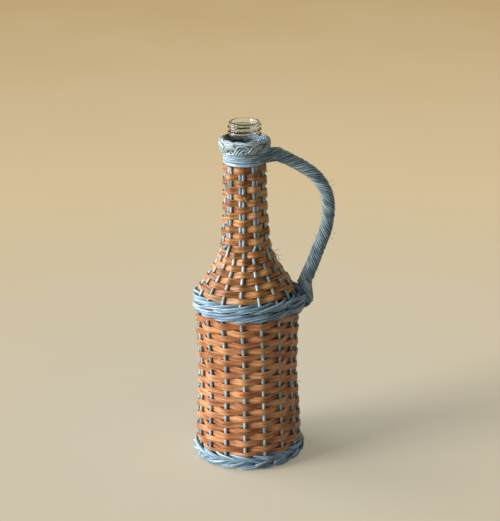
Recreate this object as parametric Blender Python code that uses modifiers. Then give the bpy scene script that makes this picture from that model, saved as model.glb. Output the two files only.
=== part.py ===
"""A clear glass bottle in a close woven cane cover, with a roped handle at one side.

Metres, +Z up. The origin is on the bottle's axis at the floor, and the handle points along +X.
Azimuths run from the front, -Y, towards +X. The cover is randed, one over and one under, by
flat cane on seventeen rod ends: eight rods that pass under the bottle and one that ends there.
"""

import math

import bmesh
import bpy
from mathutils import Vector

# Clearances
FIT_GAP = 0.0003
WEAVE_GAP = 0.0002
ROW_GAP = 0.0003
BUTT_GAP = 0.0004
WELD_DISTANCE = 0.000001

# Glass bottle
TOTAL_HEIGHT = 0.2843
GLASS_BODY_RADIUS = 0.0361
GLASS_WALL = 0.0026
GLASS_FLOOR = 0.0045
GLASS_CORNER_RADIUS = 0.0080
PUNT_INSET = 0.0051
PUNT_HEIGHT = 0.0030
SHOULDER_BOTTOM = 0.137
SHOULDER_TOP = 0.184
NECK_FOOT_RADIUS = 0.0150
NECK_TOP_RADIUS = 0.0119
NECK_TOP = 0.262
BEAD_RADIUS = 0.0134
BEAD_BOTTOM = 0.2643
BEAD_TOP = 0.2663
FINISH_BOTTOM = 0.2674
FINISH_RADIUS = 0.01245
RIM_ROUNDING = 0.0006
BORE_RADIUS = 0.0092
GLASS_SEGMENTS = 24
CORNER_STEPS = 3
# Height share of the shoulder, and share of the step from the neck's foot to the body
SHOULDER_SHARES = ((0.13, 0.930), (0.28, 0.745), (0.47, 0.485), (0.68, 0.205), (0.90, 0.040))
# Height share of the neck, and share of the neck's taper
NECK_SHARES = ((0.36, 0.38), (0.84, 0.06))

# Rods that stand round the bottle
ROD_COUNT = 17
ROD_RADIUS = 0.0011
ROD_SECTION_SIDES = 5
FIRST_ROD_AZIMUTH = math.radians(-5.2)
ROD_BEND_RADIUS = 0.0050
ROD_TOP = 0.2592
CROSSING_SPACING = 0.0026
CROSSING_REACH = 0.0068
FAN_INSET = 0.0008
FLAT_SHARE = 0.1
# The rods stand off the glass by this much more at the foot, and by shares of it above
FOOT_SLACK = 0.0032
BODY_SLACK_SHARES = ((0.27, 0.72), (0.55, 0.0), (0.80, 0.42), (1.0, 0.66))
SHOULDER_SLACK_SHARES = (0.25, 0.05, 0.0, 0.0, 0.0)

# Rod groups on the neck: eight pairs and one single rod
GROUPS = ((-1, 0), (1, 2), (3, 4), (5, 6), (7, 8), (9,), (10, 11), (12, 13), (14, 15))
FIRST_GROUP_AZIMUTH = math.radians(-10.4)
PAIR_SPACING = 0.0025
PAIRING_EASE = 0.00065

# Flat cane of the cover
CANE_WIDTH = 0.0050
CANE_THICKNESS = 0.0012
CANE_TIP_SHARE = 0.16
STANDOFF_PASSES = 4
BODY_ROWS = 22
UPPER_ROWS = 21
BODY_START_ROD = 5
UPPER_START_ROD = 1
WEAVE_TOP = 0.2493
UPPER_WEAVE_ROOM = 0.0009
PAIRING_LEAD = 0.0018
FIRST_CROSSING = 3
OVER_ROOM = 0.0008
OVER_LIFT = 0.0003
BEHIND_LIFT = 0.0002
WIDE_PAIR_REACH = 0.0015
FLAT_OVER_RADIUS = 0.0300
BODY_CANE_PIECES = 5
NECK_CANE_PIECES = 2

# Woven base under the bottle
BASE_CANE_WIDTH = 0.0040
BASE_CANE_THICKNESS = 0.0010
BASE_FLOOR_GAP = 0.0002
BASE_WEAVE_INSET = 0.0011
BASE_PITCH = 0.0043
BASE_ROWS = 4

# Three-strand wales at the foot and at the shoulder
WALE_SECTION_SIDES = 5
FOOT_STRAND_RADIUS = 0.0012
FOOT_PITCH = 0.0031
WALE_STRAND_RADIUS = 0.0013
WALE_PITCH = 0.0036
WALE_BOTTOM = 0.1292
WALE_FRONT_ROOM = 0.0005
FRONT_TURN = math.radians(1.5)
BEHIND_TURN = math.radians(4.0)
FOOT_BEHIND_ROOM = 0.0007
FOOT_BEHIND_HEIGHT = 0.0058
FOOT_DIVE_ROOM = 0.0029
FOOT_DIVE_HEIGHT = 0.0016
FOOT_DIVE_TURN = math.radians(8.0)
FOOT_FRONT_TUCK = 0.0004

# Band wound round the top of the neck
BAND_STRAND_RADIUS = 0.00115
BAND_BOTTOM = 0.2516
BAND_TOP = 0.2597
BAND_TURNS = 2.1
BAND_LOOP_POINTS = 24
BAND_START_AZIMUTH = math.radians(72.0)
BAND_ROOM = 0.00075

# Plaited collar round the bottle's mouth
COLLAR_STRANDS = 3
COLLAR_LOBES = 10
COLLAR_OFFSET = 0.0017
COLLAR_RISE = 0.00435
COLLAR_DEPTH = 0.0016
COLLAR_STRAND_WIDTH = 0.0033
COLLAR_STRAND_THICKNESS = 0.0017
COLLAR_POINTS_PER_PERIOD = 12

# Roped handle
HANDLE_REACH = 0.0668
HANDLE_TOP = 0.2558
HANDLE_BOTTOM = 0.1275
HANDLE_BAND_GAP = 0.0004
# Its centre line: share of the way out to its reach, from the band or from the wale, and height share
HANDLE_UPPER_SHARES = (
    (0.000, 1.000), (0.191, 0.998), (0.363, 0.972), (0.569, 0.930), (0.738, 0.882), (0.888, 0.816),
    (0.975, 0.745), (1.000, 0.672),
)
HANDLE_LOWER_SHARES = (
    (0.985, 0.597), (0.874, 0.515), (0.656, 0.421), (0.393, 0.319), (0.172, 0.235), (0.038, 0.155),
    (0.004, 0.070), (0.000, 0.000),
)
HANDLE_LINE_STEPS = 10
HANDLE_CORE_RADIUS = 0.0030
HANDLE_CORE_SIDES = 8
HANDLE_CORE_POINTS = 15
HANDLE_STRANDS = 5
HANDLE_STRAND_WIDTH = 0.0042
HANDLE_STRAND_THICKNESS = 0.0015
HANDLE_STRAND_SEAT = 0.00345
HANDLE_LEAD = 0.032
HANDLE_POINTS_PER_TURN = 7
HANDLE_END_SHARE = 0.70
HANDLE_TOP_TAPER = 0.011
HANDLE_FOOT_TAPER = 0.028

# Worked out from the values above
ROD_STEP = 2 * math.pi / ROD_COUNT
GROUP_STEP = 2 * math.pi / len(GROUPS)
ROD_BASE_HEIGHT = BASE_FLOOR_GAP + BASE_CANE_THICKNESS + FIT_GAP + ROD_RADIUS
GLASS_SEAT = ROD_BASE_HEIGHT + ROD_RADIUS + FIT_GAP + BASE_CANE_THICKNESS + FIT_GAP
STANDOFF = ROD_RADIUS + WEAVE_GAP + CANE_THICKNESS / 2
LOW_CROSSING = ROD_RADIUS - 2 * ROD_RADIUS * FLAT_SHARE
HIGH_CROSSING = LOW_CROSSING + 2 * ROD_RADIUS + FIT_GAP
PRESSED_ROD_RADIUS = NECK_TOP_RADIUS + FIT_GAP + ROD_RADIUS
BAND_RADIUS = PRESSED_ROD_RADIUS + ROD_RADIUS + BAND_ROOM + BAND_STRAND_RADIUS
COLLAR_RADIUS = BAND_RADIUS + COLLAR_OFFSET
PUNT_RADIUS = GLASS_BODY_RADIUS - GLASS_CORNER_RADIUS - PUNT_INSET
BASE_WEAVE_OUTER = GLASS_BODY_RADIUS - BASE_WEAVE_INSET
BASE_WEAVE_INNER = BASE_WEAVE_OUTER - BASE_ROWS * BASE_PITCH
FAN_RADIUS = BASE_WEAVE_INNER - FAN_INSET
HANDLE_END_RADIUS = (HANDLE_STRAND_SEAT + HANDLE_STRAND_THICKNESS) * HANDLE_END_SHARE
FOOT_TOP = 3 * FOOT_PITCH + 2 * FOOT_STRAND_RADIUS * (1 - FLAT_SHARE)
WALE_TOP = WALE_BOTTOM + 3 * WALE_PITCH + 2 * WALE_STRAND_RADIUS

# Colours: linear red, green and blue
GLASS_COLOUR = (0.86, 0.93, 0.91)
CANE_COLOUR = (0.50, 0.19, 0.07)
ROD_COLOUR = (0.43, 0.58, 0.65)
STRAND_COLOUR = (0.22, 0.38, 0.50)
HANDLE_COLOUR = (0.07, 0.12, 0.15)


def collection(name):
    """A collection in the scene."""
    group = bpy.data.collections.new(name)
    bpy.context.scene.collection.children.link(group)
    return group


def material(name, colour, roughness, metallic=0.0, transmission=0.0):
    """A plain material in the photographed colour."""
    made = bpy.data.materials.new(name)
    made.use_nodes = True
    shader = made.node_tree.nodes["Principled BSDF"]
    shader.inputs["Base Color"].default_value = (*colour, 1.0)
    shader.inputs["Roughness"].default_value = roughness
    shader.inputs["Metallic"].default_value = metallic
    shader.inputs["Transmission Weight"].default_value = transmission
    made.diffuse_color = (*colour, 1.0)
    return made


def polar(azimuth, radius, height):
    """A point from its azimuth, its distance from the axis and its height."""
    return Vector((radius * math.sin(azimuth), -radius * math.cos(azimuth), height))


def smooth_step(share):
    """A smooth rise from 0 to 1."""
    share = min(1.0, max(0.0, share))
    return share * share * (3 - 2 * share)


def section(name, points, guides):
    """A closed flat outline that a curve is bevelled with."""
    data = bpy.data.curves.new(name, "CURVE")
    data.dimensions = "2D"
    spline = data.splines.new("POLY")
    spline.points.add(len(points) - 1)
    for target, (x, y) in zip(spline.points, points[::-1]):
        target.co = (x, y, 0.0, 1.0)
    spline.use_cyclic_u = True
    made = bpy.data.objects.new(name, data)
    made.hide_render = True
    made.display_type = "WIRE"
    guides.objects.link(made)
    return made


def round_section(name, radius, sides, guides):
    """A regular outline that stands in for a circle."""
    angles = [2 * math.pi * (i + 0.5) / sides for i in range(sides)]
    return section(name, [(radius * math.cos(a), radius * math.sin(a)) for a in angles], guides)


def flat_section(name, thickness, width, guides):
    """A flat strip's outline: its thickness points away from the bottle."""
    t, w = thickness / 2, width / 2
    return section(name, [(t, -w), (t, w), (-t, w), (-t, -w)], guides)


def swept(name, points, outline, mat, parts, tilts=None, scales=None, twist="MINIMUM"):
    """A solid strand: an outline swept along straight runs between points."""
    data = bpy.data.curves.new(name, "CURVE")
    data.dimensions = "3D"
    data.twist_mode = twist
    data.bevel_mode = "OBJECT"
    data.bevel_object = outline
    data.use_fill_caps = True
    spline = data.splines.new("POLY")
    spline.points.add(len(points) - 1)
    for i, (target, place) in enumerate(zip(spline.points, points)):
        target.co = (*place, 1.0)
        target.tilt = tilts[i] if tilts else 0.0
        target.radius = scales[i] if scales else 1.0
    data.materials.append(mat)
    made = bpy.data.objects.new(name, data)
    parts.objects.link(made)
    return made


def tube(name, points, radius, resolution, mat, parts):
    """A round strand with its own bevel."""
    made = swept(name, points, None, mat, parts)
    made.data.bevel_mode = "ROUND"
    made.data.bevel_depth = radius
    made.data.bevel_resolution = resolution
    return made


def pull_back(points, distance):
    """Shorten a route at both ends."""
    cut = list(points)
    cut[0] = points[0] + (points[1] - points[0]).normalized() * distance
    cut[-1] = points[-1] + (points[-2] - points[-1]).normalized() * distance
    return cut


# Glass bottle


def glass_outline():
    """The glass's outer side from the body's foot to the top of the neck: radius and height."""
    line = [(GLASS_BODY_RADIUS, GLASS_SEAT + GLASS_CORNER_RADIUS), (GLASS_BODY_RADIUS, SHOULDER_BOTTOM)]
    rise = SHOULDER_TOP - SHOULDER_BOTTOM
    step = GLASS_BODY_RADIUS - NECK_FOOT_RADIUS
    for height_share, radius_share in SHOULDER_SHARES:
        line.append((NECK_FOOT_RADIUS + step * radius_share, SHOULDER_BOTTOM + rise * height_share))
    line.append((NECK_FOOT_RADIUS, SHOULDER_TOP))
    taper = NECK_FOOT_RADIUS - NECK_TOP_RADIUS
    for height_share, radius_share in NECK_SHARES:
        height = SHOULDER_TOP + (NECK_TOP - SHOULDER_TOP) * height_share
        line.append((NECK_TOP_RADIUS + taper * radius_share, height))
    line.append((NECK_TOP_RADIUS, NECK_TOP))
    return line


def corner(radius_out, height, rounding):
    """A rounded foot corner, from the flat foot to the upright wall."""
    angles = [math.pi / 2 * i / CORNER_STEPS for i in range(CORNER_STEPS + 1)]
    return [
        (radius_out - rounding + rounding * math.sin(a), height + rounding - rounding * math.cos(a))
        for a in angles
    ]


def glass_profile():
    """The whole turned outline: up the inner side, over the rim and down the outer side."""
    outer = glass_outline()
    floor = GLASS_SEAT + GLASS_FLOOR
    inner_radius = GLASS_BODY_RADIUS - GLASS_WALL
    inner = [(0.0, floor + PUNT_HEIGHT), (PUNT_RADIUS, floor)]
    inner += corner(inner_radius, floor, GLASS_CORNER_RADIUS - GLASS_WALL)
    for i in range(1, len(outer) - 1):
        run = outer[i + 1][0] - outer[i - 1][0]
        rise = outer[i + 1][1] - outer[i - 1][1]
        wall = GLASS_WALL * math.hypot(run, rise) / rise
        inner.append((max(BORE_RADIUS, outer[i][0] - wall), outer[i][1]))
    rim = [
        (BORE_RADIUS, NECK_TOP),
        (BORE_RADIUS, TOTAL_HEIGHT),
        (FINISH_RADIUS - RIM_ROUNDING, TOTAL_HEIGHT),
        (FINISH_RADIUS, TOTAL_HEIGHT - RIM_ROUNDING),
        (FINISH_RADIUS, FINISH_BOTTOM),
        (BEAD_RADIUS, BEAD_TOP),
        (BEAD_RADIUS, BEAD_BOTTOM),
    ]
    foot = corner(GLASS_BODY_RADIUS, GLASS_SEAT, GLASS_CORNER_RADIUS)
    down = outer[:0:-1] + foot[::-1] + [(PUNT_RADIUS, GLASS_SEAT), (0.0, GLASS_SEAT + PUNT_HEIGHT)]
    return inner + rim + down


def make_glass(parts):
    """The bottle: one profile turned round the axis."""
    mesh = bpy.data.meshes.new("glass_bottle")
    points = [(radius, 0.0, height) for radius, height in glass_profile()]
    mesh.from_pydata(points, [(i, i + 1) for i in range(len(points) - 1)], [])
    mesh.materials.append(material("clear_glass", GLASS_COLOUR, 0.04, transmission=0.9))
    bottle = bpy.data.objects.new("glass_bottle", mesh)
    parts.objects.link(bottle)
    screw = bottle.modifiers.new("turn", "SCREW")
    screw.steps = GLASS_SEGMENTS
    screw.render_steps = GLASS_SEGMENTS
    screw.use_merge_vertices = True
    screw.merge_threshold = WELD_DISTANCE
    screw.use_smooth_shade = True
    return bottle


# The line that the rods follow up the glass


def standoff(radius, step):
    """How far the cane's centre lies from a rod's centre, so that its slope clears the rod."""
    offset = STANDOFF
    for _ in range(STANDOFF_PASSES):
        rise = 2 * offset + radius * (1 - math.cos(step))
        run = (radius - offset) * math.sin(step)
        offset = STANDOFF * math.hypot(rise, run) / run
    return offset


class CoverLine:
    """The rods' centre line in the radius and height plane, measured along its length."""

    def __init__(self):
        outer = glass_outline()[1:-1]
        shoulder_slacks = [share * FOOT_SLACK for share in SHOULDER_SLACK_SHARES]
        slacks = [0.0] + shoulder_slacks + [0.0] * (len(outer) - 1 - len(shoulder_slacks))
        body_offset = self.glass_offset(GLASS_BODY_RADIUS)
        self.foot_radius = GLASS_BODY_RADIUS + body_offset + FOOT_SLACK
        self.line = [(self.foot_radius, ROD_BASE_HEIGHT + ROD_BEND_RADIUS)]
        for height_share, slack_share in BODY_SLACK_SHARES:
            radius = GLASS_BODY_RADIUS + body_offset + FOOT_SLACK * slack_share
            self.line.append((radius, SHOULDER_BOTTOM * height_share))
        for i in range(1, len(outer)):
            before = outer[i - 1]
            after = outer[min(i + 1, len(outer) - 1)]
            lean = math.atan2(before[0] - after[0], after[1] - before[1])
            offset = self.glass_offset(outer[i][0]) + slacks[i]
            self.line.append((outer[i][0] + offset * math.cos(lean), outer[i][1] + offset * math.sin(lean)))
        neck_foot = len(self.line) - len(NECK_SHARES) - 1
        self.pairing = (self.line[neck_foot - 1][1] - PAIRING_EASE, self.line[neck_foot][1] + PAIRING_EASE)
        self.arcs = [0.0]
        for (r0, z0), (r1, z1) in zip(self.line, self.line[1:]):
            self.arcs.append(self.arcs[-1] + math.hypot(r1 - r0, z1 - z0))

    @staticmethod
    def glass_offset(glass_radius):
        """Rod's centre to glass: the cane behind it, and the gaps."""
        rod_radius = glass_radius + STANDOFF + CANE_THICKNESS
        if rod_radius > FLAT_OVER_RADIUS:
            return standoff(rod_radius, ROD_STEP) + CANE_THICKNESS / 2 + FIT_GAP
        return STANDOFF + BEHIND_LIFT + CANE_THICKNESS / 2 + FIT_GAP

    def place(self, arc):
        """Radius and height at a length along the line."""
        i = 0
        while i < len(self.arcs) - 2 and arc > self.arcs[i + 1]:
            i += 1
        share = (arc - self.arcs[i]) / (self.arcs[i + 1] - self.arcs[i])
        (r0, z0), (r1, z1) = self.line[i], self.line[i + 1]
        return r0 + (r1 - r0) * share, z0 + (z1 - z0) * share

    def at_arc(self, arc):
        """Radius, height and lean towards the axis of a strip laid across the line."""
        radius, height = self.place(arc)
        r0, z0 = self.place(arc - CANE_WIDTH / 2)
        r1, z1 = self.place(arc + CANE_WIDTH / 2)
        return radius, height, math.atan2(r0 - r1, z1 - z0)

    def arc_at(self, height):
        """Length along the line at a height."""
        i = 0
        while i < len(self.line) - 2 and height > self.line[i + 1][1]:
            i += 1
        share = (height - self.line[i][1]) / (self.line[i + 1][1] - self.line[i][1])
        return self.arcs[i] + (self.arcs[i + 1] - self.arcs[i]) * share

    def radius_at(self, height):
        """Radius of the rods' centre line at a height."""
        return self.place(self.arc_at(height))[0]


COVER = CoverLine()


def nominal_azimuth(rod):
    """A rod's azimuth on the body."""
    return FIRST_ROD_AZIMUTH + ROD_STEP * rod


def group_of(rod):
    """Which neck group a rod stands in, and its place in the group."""
    for index, members in enumerate(GROUPS):
        for place, member in enumerate(members):
            if (member - rod) % ROD_COUNT == 0:
                turns = (rod - member) // ROD_COUNT
                return index + turns * len(GROUPS), place, len(members)
    return None


def rod_azimuth(rod, radius, height):
    """A rod's azimuth: even on the body, drawn into its group on the neck."""
    index, place, size = group_of(rod)
    spread = (place - (size - 1) / 2) * PAIR_SPACING / radius
    grouped = FIRST_GROUP_AZIMUTH + GROUP_STEP * index + spread
    low, high = COVER.pairing
    share = min(1.0, max(0.0, (height - low) / (high - low)))
    return nominal_azimuth(rod) * (1 - share) + grouped * share


def group_edges(group, radius, height):
    """Azimuths of the first and the last rod of a neck group."""
    members = GROUPS[group % len(GROUPS)]
    turns = group // len(GROUPS)
    rods = (members[0] + turns * ROD_COUNT, members[-1] + turns * ROD_COUNT)
    return [rod_azimuth(rod, radius, height) for rod in rods]


# Rods


def rod_side(rod):
    """One rod end's route, from the woven base up to the collar."""
    azimuth = nominal_azimuth(rod)
    route = [polar(azimuth, FAN_RADIUS, ROD_BASE_HEIGHT)]
    centre = COVER.foot_radius - ROD_BEND_RADIUS
    for angle in (0.0, math.pi / 4, math.pi / 2):
        radius = centre + ROD_BEND_RADIUS * math.sin(angle)
        height = ROD_BASE_HEIGHT + ROD_BEND_RADIUS * (1 - math.cos(angle))
        route.append(polar(azimuth, radius, height))
    for radius, height in COVER.line[1:]:
        route.append(polar(rod_azimuth(rod, radius, height), radius, height))
    for height in (BAND_BOTTOM + FIT_GAP, ROD_TOP):
        azimuth = rod_azimuth(rod, PRESSED_ROD_RADIUS, height)
        route.append(polar(azimuth, PRESSED_ROD_RADIUS, height))
    return route


def make_rods(parts, cutters, floor):
    """Eight rods cross under the bottle, four over four, and a ninth ends at the crossing."""
    mat = material("pale_blue_rod", ROD_COLOUR, 0.55)
    outline = round_section("rod_section", ROD_RADIUS, ROD_SECTION_SIDES, cutters)
    places = [-2, -1, 1, 2]
    lower = []
    for front, back, place in zip(places, (-7, -8, 8, 7), places):
        x = CROSSING_SPACING * place
        middle = [Vector((x, side * CROSSING_REACH, LOW_CROSSING)) for side in (-1, 1)]
        route = rod_side(front)[::-1] + middle + rod_side(back)
        lower.append(swept(f"rod_lower_{len(lower) + 1}", route, outline, mat, parts))
    for number, (right, left) in enumerate(zip((3, 4, 5, 6), (-3, -4, -5, -6))):
        y = CROSSING_SPACING * (number - (len(places) - 1) / 2)
        middle = [Vector((side * CROSSING_REACH, y, HIGH_CROSSING)) for side in (1, -1)]
        route = rod_side(right)[::-1] + middle + rod_side(left)
        swept(f"rod_upper_{number + 1}", route, outline, mat, parts)
    middle = [Vector((0.0, side * CROSSING_REACH, LOW_CROSSING)) for side in (-1, 1)]
    lower.append(swept("rod_odd", rod_side(0)[::-1] + middle, outline, mat, parts))

    for rod in lower:
        flatten(rod, floor, parts)


def floor_cutter(cutters):
    """A block below the floor."""
    cut = bmesh.new()
    size = 3 * COVER.foot_radius
    bmesh.ops.create_cube(cut, size=size)
    mesh = bpy.data.meshes.new("floor_cutter")
    cut.to_mesh(mesh)
    cut.free()
    floor = bpy.data.objects.new("floor_cutter", mesh)
    floor.location.z = -size / 2
    floor.hide_render = True
    floor.display_type = "WIRE"
    cutters.objects.link(floor)
    return floor


def flatten(curve, cutter, parts):
    """Trim a strand where it rests on the floor."""
    bpy.context.view_layer.update()
    evaluated = curve.evaluated_get(bpy.context.evaluated_depsgraph_get())
    mesh = bpy.data.meshes.new_from_object(evaluated)
    weld = bmesh.new()
    weld.from_mesh(mesh)
    bmesh.ops.remove_doubles(weld, verts=weld.verts, dist=WELD_DISTANCE)
    weld.to_mesh(mesh)
    weld.free()
    name = curve.name
    bpy.data.objects.remove(curve)
    trimmed = bpy.data.objects.new(name, mesh)
    parts.objects.link(trimmed)
    cut = trimmed.modifiers.new("floor", "BOOLEAN")
    cut.operation = "DIFFERENCE"
    cut.solver = "EXACT"
    cut.object = cutter
    return trimmed


# Randed cane


def cover_point(azimuth, arc, offset):
    """A point off the rods' line: a positive offset is away from the bottle."""
    radius, height, lean = COVER.at_arc(arc)
    return polar(azimuth, radius + offset * math.cos(lean), height + offset * math.sin(lean))


def row_edges(turns, rows, pitch):
    """Lower and upper edge of the cane after some turns: it tapers in at both ends."""
    top = min(turns, rows) * pitch
    bottom = max(0.0, turns - 1) * pitch
    return bottom, top


def randed_stations(first_arc, last_arc, rows, start_rod, neck):
    """Every crossing of the cane and a rod or rod group: azimuth, arc, offset, tilt and scale."""
    pitch = (last_arc - first_arc) / rows
    start = nominal_azimuth(start_rod)
    switch_arc = COVER.arc_at(COVER.pairing[0] - PAIRING_LEAD) if neck else math.inf
    stations = []
    rod = start_rod + FIRST_CROSSING
    group = None
    over = False
    while True:
        nominal = nominal_azimuth(rod) if group is None else FIRST_GROUP_AZIMUTH + GROUP_STEP * group
        turns = (nominal - start) / (2 * math.pi)
        bottom, top = row_edges(turns, rows, pitch)
        if top - bottom < CANE_TIP_SHARE * CANE_WIDTH and turns > 1:
            break
        scale = max(CANE_TIP_SHARE, min(1.0, (top - bottom - ROW_GAP) / CANE_WIDTH))
        arc = first_arc + (bottom + top) / 2
        radius, height, lean = COVER.at_arc(arc)
        if group is None:
            edges = [rod_azimuth(rod, radius, height)] * 2
        else:
            heights = [COVER.place(arc + CANE_WIDTH * side)[1] for side in (-0.5, 0.5)]
            spans = [group_edges(group, radius, height) for height in heights]
            edges = [min(span[0] for span in spans), max(span[1] for span in spans)]
        reach = (edges[1] - edges[0]) / 2
        if group is None and radius > FLAT_OVER_RADIUS:
            offset = standoff(radius, ROD_STEP)
            spots = [(edges[0], offset if over else -offset)]
        elif over:
            half = OVER_ROOM / radius
            lifted = (radius + STANDOFF + OVER_LIFT) * math.cos(reach) / math.cos(reach + half)
            spots = [(edges[0] - half, lifted - radius), (edges[1] + half, lifted - radius)]
        elif reach * radius > WIDE_PAIR_REACH:
            spots = [(azimuth, -STANDOFF - BEHIND_LIFT) for azimuth in (edges[0], sum(edges) / 2, edges[1])]
        else:
            spots = [(sum(edges) / 2, -STANDOFF - BEHIND_LIFT)]
        below = COVER.at_arc(arc - CANE_WIDTH / 2)[2]
        above = COVER.at_arc(arc + CANE_WIDTH / 2)[2]
        for azimuth, offset in spots:
            squeeze = max(0.0, offset * (below - above))
            width = max(CANE_TIP_SHARE, min(scale, (top - bottom - ROW_GAP - squeeze) / CANE_WIDTH))
            stations.append((azimuth, arc, offset, -lean, width))
        over = not over
        if group is None:
            index, place, size = group_of(rod)
            if arc > switch_arc and place == size - 1:
                group = index + 1
            rod += 1
        else:
            group += 1
    return stations


def cane_piece(name, stations, outline, mat, parts):
    """One length of cane through its stations."""
    points = [cover_point(azimuth, arc, offset) for azimuth, arc, offset, *rest in stations]
    tilts = [station[3] for station in stations]
    scales = [station[4] for station in stations]
    route = pull_back(points, BUTT_GAP / 2)
    swept(name, route, outline, mat, parts, tilts, scales, twist="Z_UP")


def cane_pieces(label, stations, count, outline, mat, parts):
    """Lengths of cane laid end to end, each joint hidden behind a rod."""
    ends = [0]
    for i in range(1, count):
        place = len(stations) * i // count
        while stations[place][2] > 0:
            place += 1
        ends.append(place)
    ends.append(len(stations) - 1)
    for i, (first, last) in enumerate(zip(ends, ends[1:])):
        name = f"{label}_{i + 1}" if count > 1 else label
        cane_piece(name, stations[first:last + 1], outline, mat, parts)


def make_cover(parts, guides):
    """The cane on the body, on the shoulder and on the neck."""
    mat = material("brown_cane", CANE_COLOUR, 0.6)
    outline = flat_section("cane_section", CANE_THICKNESS, CANE_WIDTH, guides)
    first, last = COVER.arc_at(FOOT_TOP + FIT_GAP), COVER.arc_at(WALE_BOTTOM - FIT_GAP)
    body = randed_stations(first, last, BODY_ROWS, BODY_START_ROD, False)
    cane_pieces("body_cane", body, BODY_CANE_PIECES, outline, mat, parts)
    first, last = COVER.arc_at(WALE_TOP + UPPER_WEAVE_ROOM), COVER.arc_at(WEAVE_TOP)
    upper = randed_stations(first, last, UPPER_ROWS, UPPER_START_ROD, True)
    neck_arc = COVER.arc_at(SHOULDER_TOP)
    first_neck = next(i for i, station in enumerate(upper) if station[1] > neck_arc and station[2] < 0)
    cane_piece("shoulder_cane", upper[:first_neck + 1], outline, mat, parts)
    cane_pieces("neck_cane", upper[first_neck:], NECK_CANE_PIECES, outline, mat, parts)


def make_base_cane(parts, guides):
    """A flat spiral of cane woven through the spread rods under the bottle."""
    mat = material("base_cane", CANE_COLOUR, 0.65)
    outline = section(
        "base_cane_section",
        [
            (-BASE_CANE_WIDTH / 2, -BASE_CANE_THICKNESS / 2),
            (BASE_CANE_WIDTH / 2, -BASE_CANE_THICKNESS / 2),
            (BASE_CANE_WIDTH / 2, BASE_CANE_THICKNESS / 2),
            (-BASE_CANE_WIDTH / 2, BASE_CANE_THICKNESS / 2),
        ],
        guides,
    )
    offset = ROD_RADIUS + FIT_GAP + BASE_CANE_THICKNESS / 2
    points = []
    scales = []
    for step in range(FIRST_CROSSING, (BASE_ROWS + 1) * ROD_COUNT - FIRST_CROSSING):
        bottom, top = row_edges(step / ROD_COUNT, BASE_ROWS, BASE_PITCH)
        width = top - bottom - ROW_GAP
        side = 1 if step % 2 else -1
        radius = BASE_WEAVE_INNER + (bottom + top) / 2
        points.append(polar(nominal_azimuth(step), radius, ROD_BASE_HEIGHT + side * offset))
        scales.append(min(1.0, width / BASE_CANE_WIDTH))
    swept("base_cane", points, outline, mat, parts, scales=scales, twist="Z_UP")


# Waled strands


def wale_front(levels):
    """How far the shoulder wale's strands stand out where they pass over the rods."""
    stand = ROD_RADIUS + FIT_GAP + WALE_STRAND_RADIUS + WALE_FRONT_ROOM
    return max(COVER.radius_at(level) for level in levels) + stand


def wale_loop(heights, radii, behind, dive=None):
    """The closed route of three strands, over two rods and behind one, as (point, is_behind)."""
    first, second = heights
    loop = []
    for event in range(3 * ROD_COUNT):
        azimuth = nominal_azimuth(event)
        phase = event % 3
        if phase == 0:
            loop.append((polar(azimuth - FRONT_TURN, radii[0], first), False))
        elif phase == 1:
            loop.append((polar(azimuth + FRONT_TURN, radii[1], second), False))
        else:
            loop.append((polar(azimuth - BEHIND_TURN, behind[0][0], behind[0][1]), True))
            loop.append((polar(azimuth + BEHIND_TURN, behind[1][0], behind[1][1]), True))
            if dive:
                loop.append((polar(azimuth + FOOT_DIVE_TURN, *dive), False))
    return loop


def make_wale(label, loop, outline, mat, parts):
    """Cut a closed wale into three strands whose ends meet behind rods."""
    strands = []
    joints = [i for i in range(len(loop)) if loop[i][1] and loop[(i + 1) % len(loop)][1]]
    chosen = [joints[len(joints) * part // 3] for part in range(3)]
    for number, first in enumerate(chosen):
        last = chosen[(number + 1) % 3]
        if last <= first:
            last += len(loop)
        inner = [loop[i % len(loop)][0] for i in range(first + 1, last + 1)]
        start = (loop[first][0] + loop[first + 1][0]) / 2
        end = (loop[last % len(loop)][0] + loop[(last + 1) % len(loop)][0]) / 2
        route = pull_back([start] + inner + [end], BUTT_GAP / 2)
        strands.append(swept(f"{label}_{number + 1}", route, outline, mat, parts))
    return strands


def make_wales(parts, guides, floor):
    """The arrow border at the foot, and two rounds of waling at the shoulder."""
    mat = material("blue_strand", STRAND_COLOUR, 0.5)
    outline = round_section("foot_section", FOOT_STRAND_RADIUS, WALE_SECTION_SIDES, guides)
    levels = [FOOT_STRAND_RADIUS * (1 - 2 * FLAT_SHARE) + FOOT_PITCH * i for i in range(4)]
    stand = ROD_RADIUS + FIT_GAP + FOOT_STRAND_RADIUS
    front = COVER.foot_radius + stand + WALE_FRONT_ROOM / 2
    back = COVER.foot_radius - stand
    hidden = (GLASS_BODY_RADIUS + FOOT_BEHIND_ROOM, FOOT_BEHIND_HEIGHT)
    lower = wale_loop(
        (levels[0], levels[1]),
        (front - FOOT_FRONT_TUCK, front),
        (hidden, hidden),
        (GLASS_BODY_RADIUS + FOOT_DIVE_ROOM, FOOT_DIVE_HEIGHT),
    )
    upper = wale_loop((levels[3], levels[2]), (front, front), ((back, levels[2]), (back, levels[3])))
    for strand in make_wale("foot_wale_lower", lower, outline, mat, parts):
        flatten(strand, floor, parts)
    make_wale("foot_wale_upper", upper, outline, mat, parts)

    outline = round_section("wale_section", WALE_STRAND_RADIUS, WALE_SECTION_SIDES, guides)
    levels = [WALE_BOTTOM + WALE_STRAND_RADIUS + WALE_PITCH * i for i in range(4)]
    stand = ROD_RADIUS + FIT_GAP + WALE_STRAND_RADIUS
    for label, (low, high) in (("lower", levels[:2]), ("upper", levels[2:])):
        fronts = [wale_front((low, high))] * 2
        backs = [(COVER.radius_at(z) - stand, z) for z in (high, low)]
        make_wale(f"shoulder_wale_{label}", wale_loop((low, high), fronts, backs), outline, mat, parts)


# Neck band and collar


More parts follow.
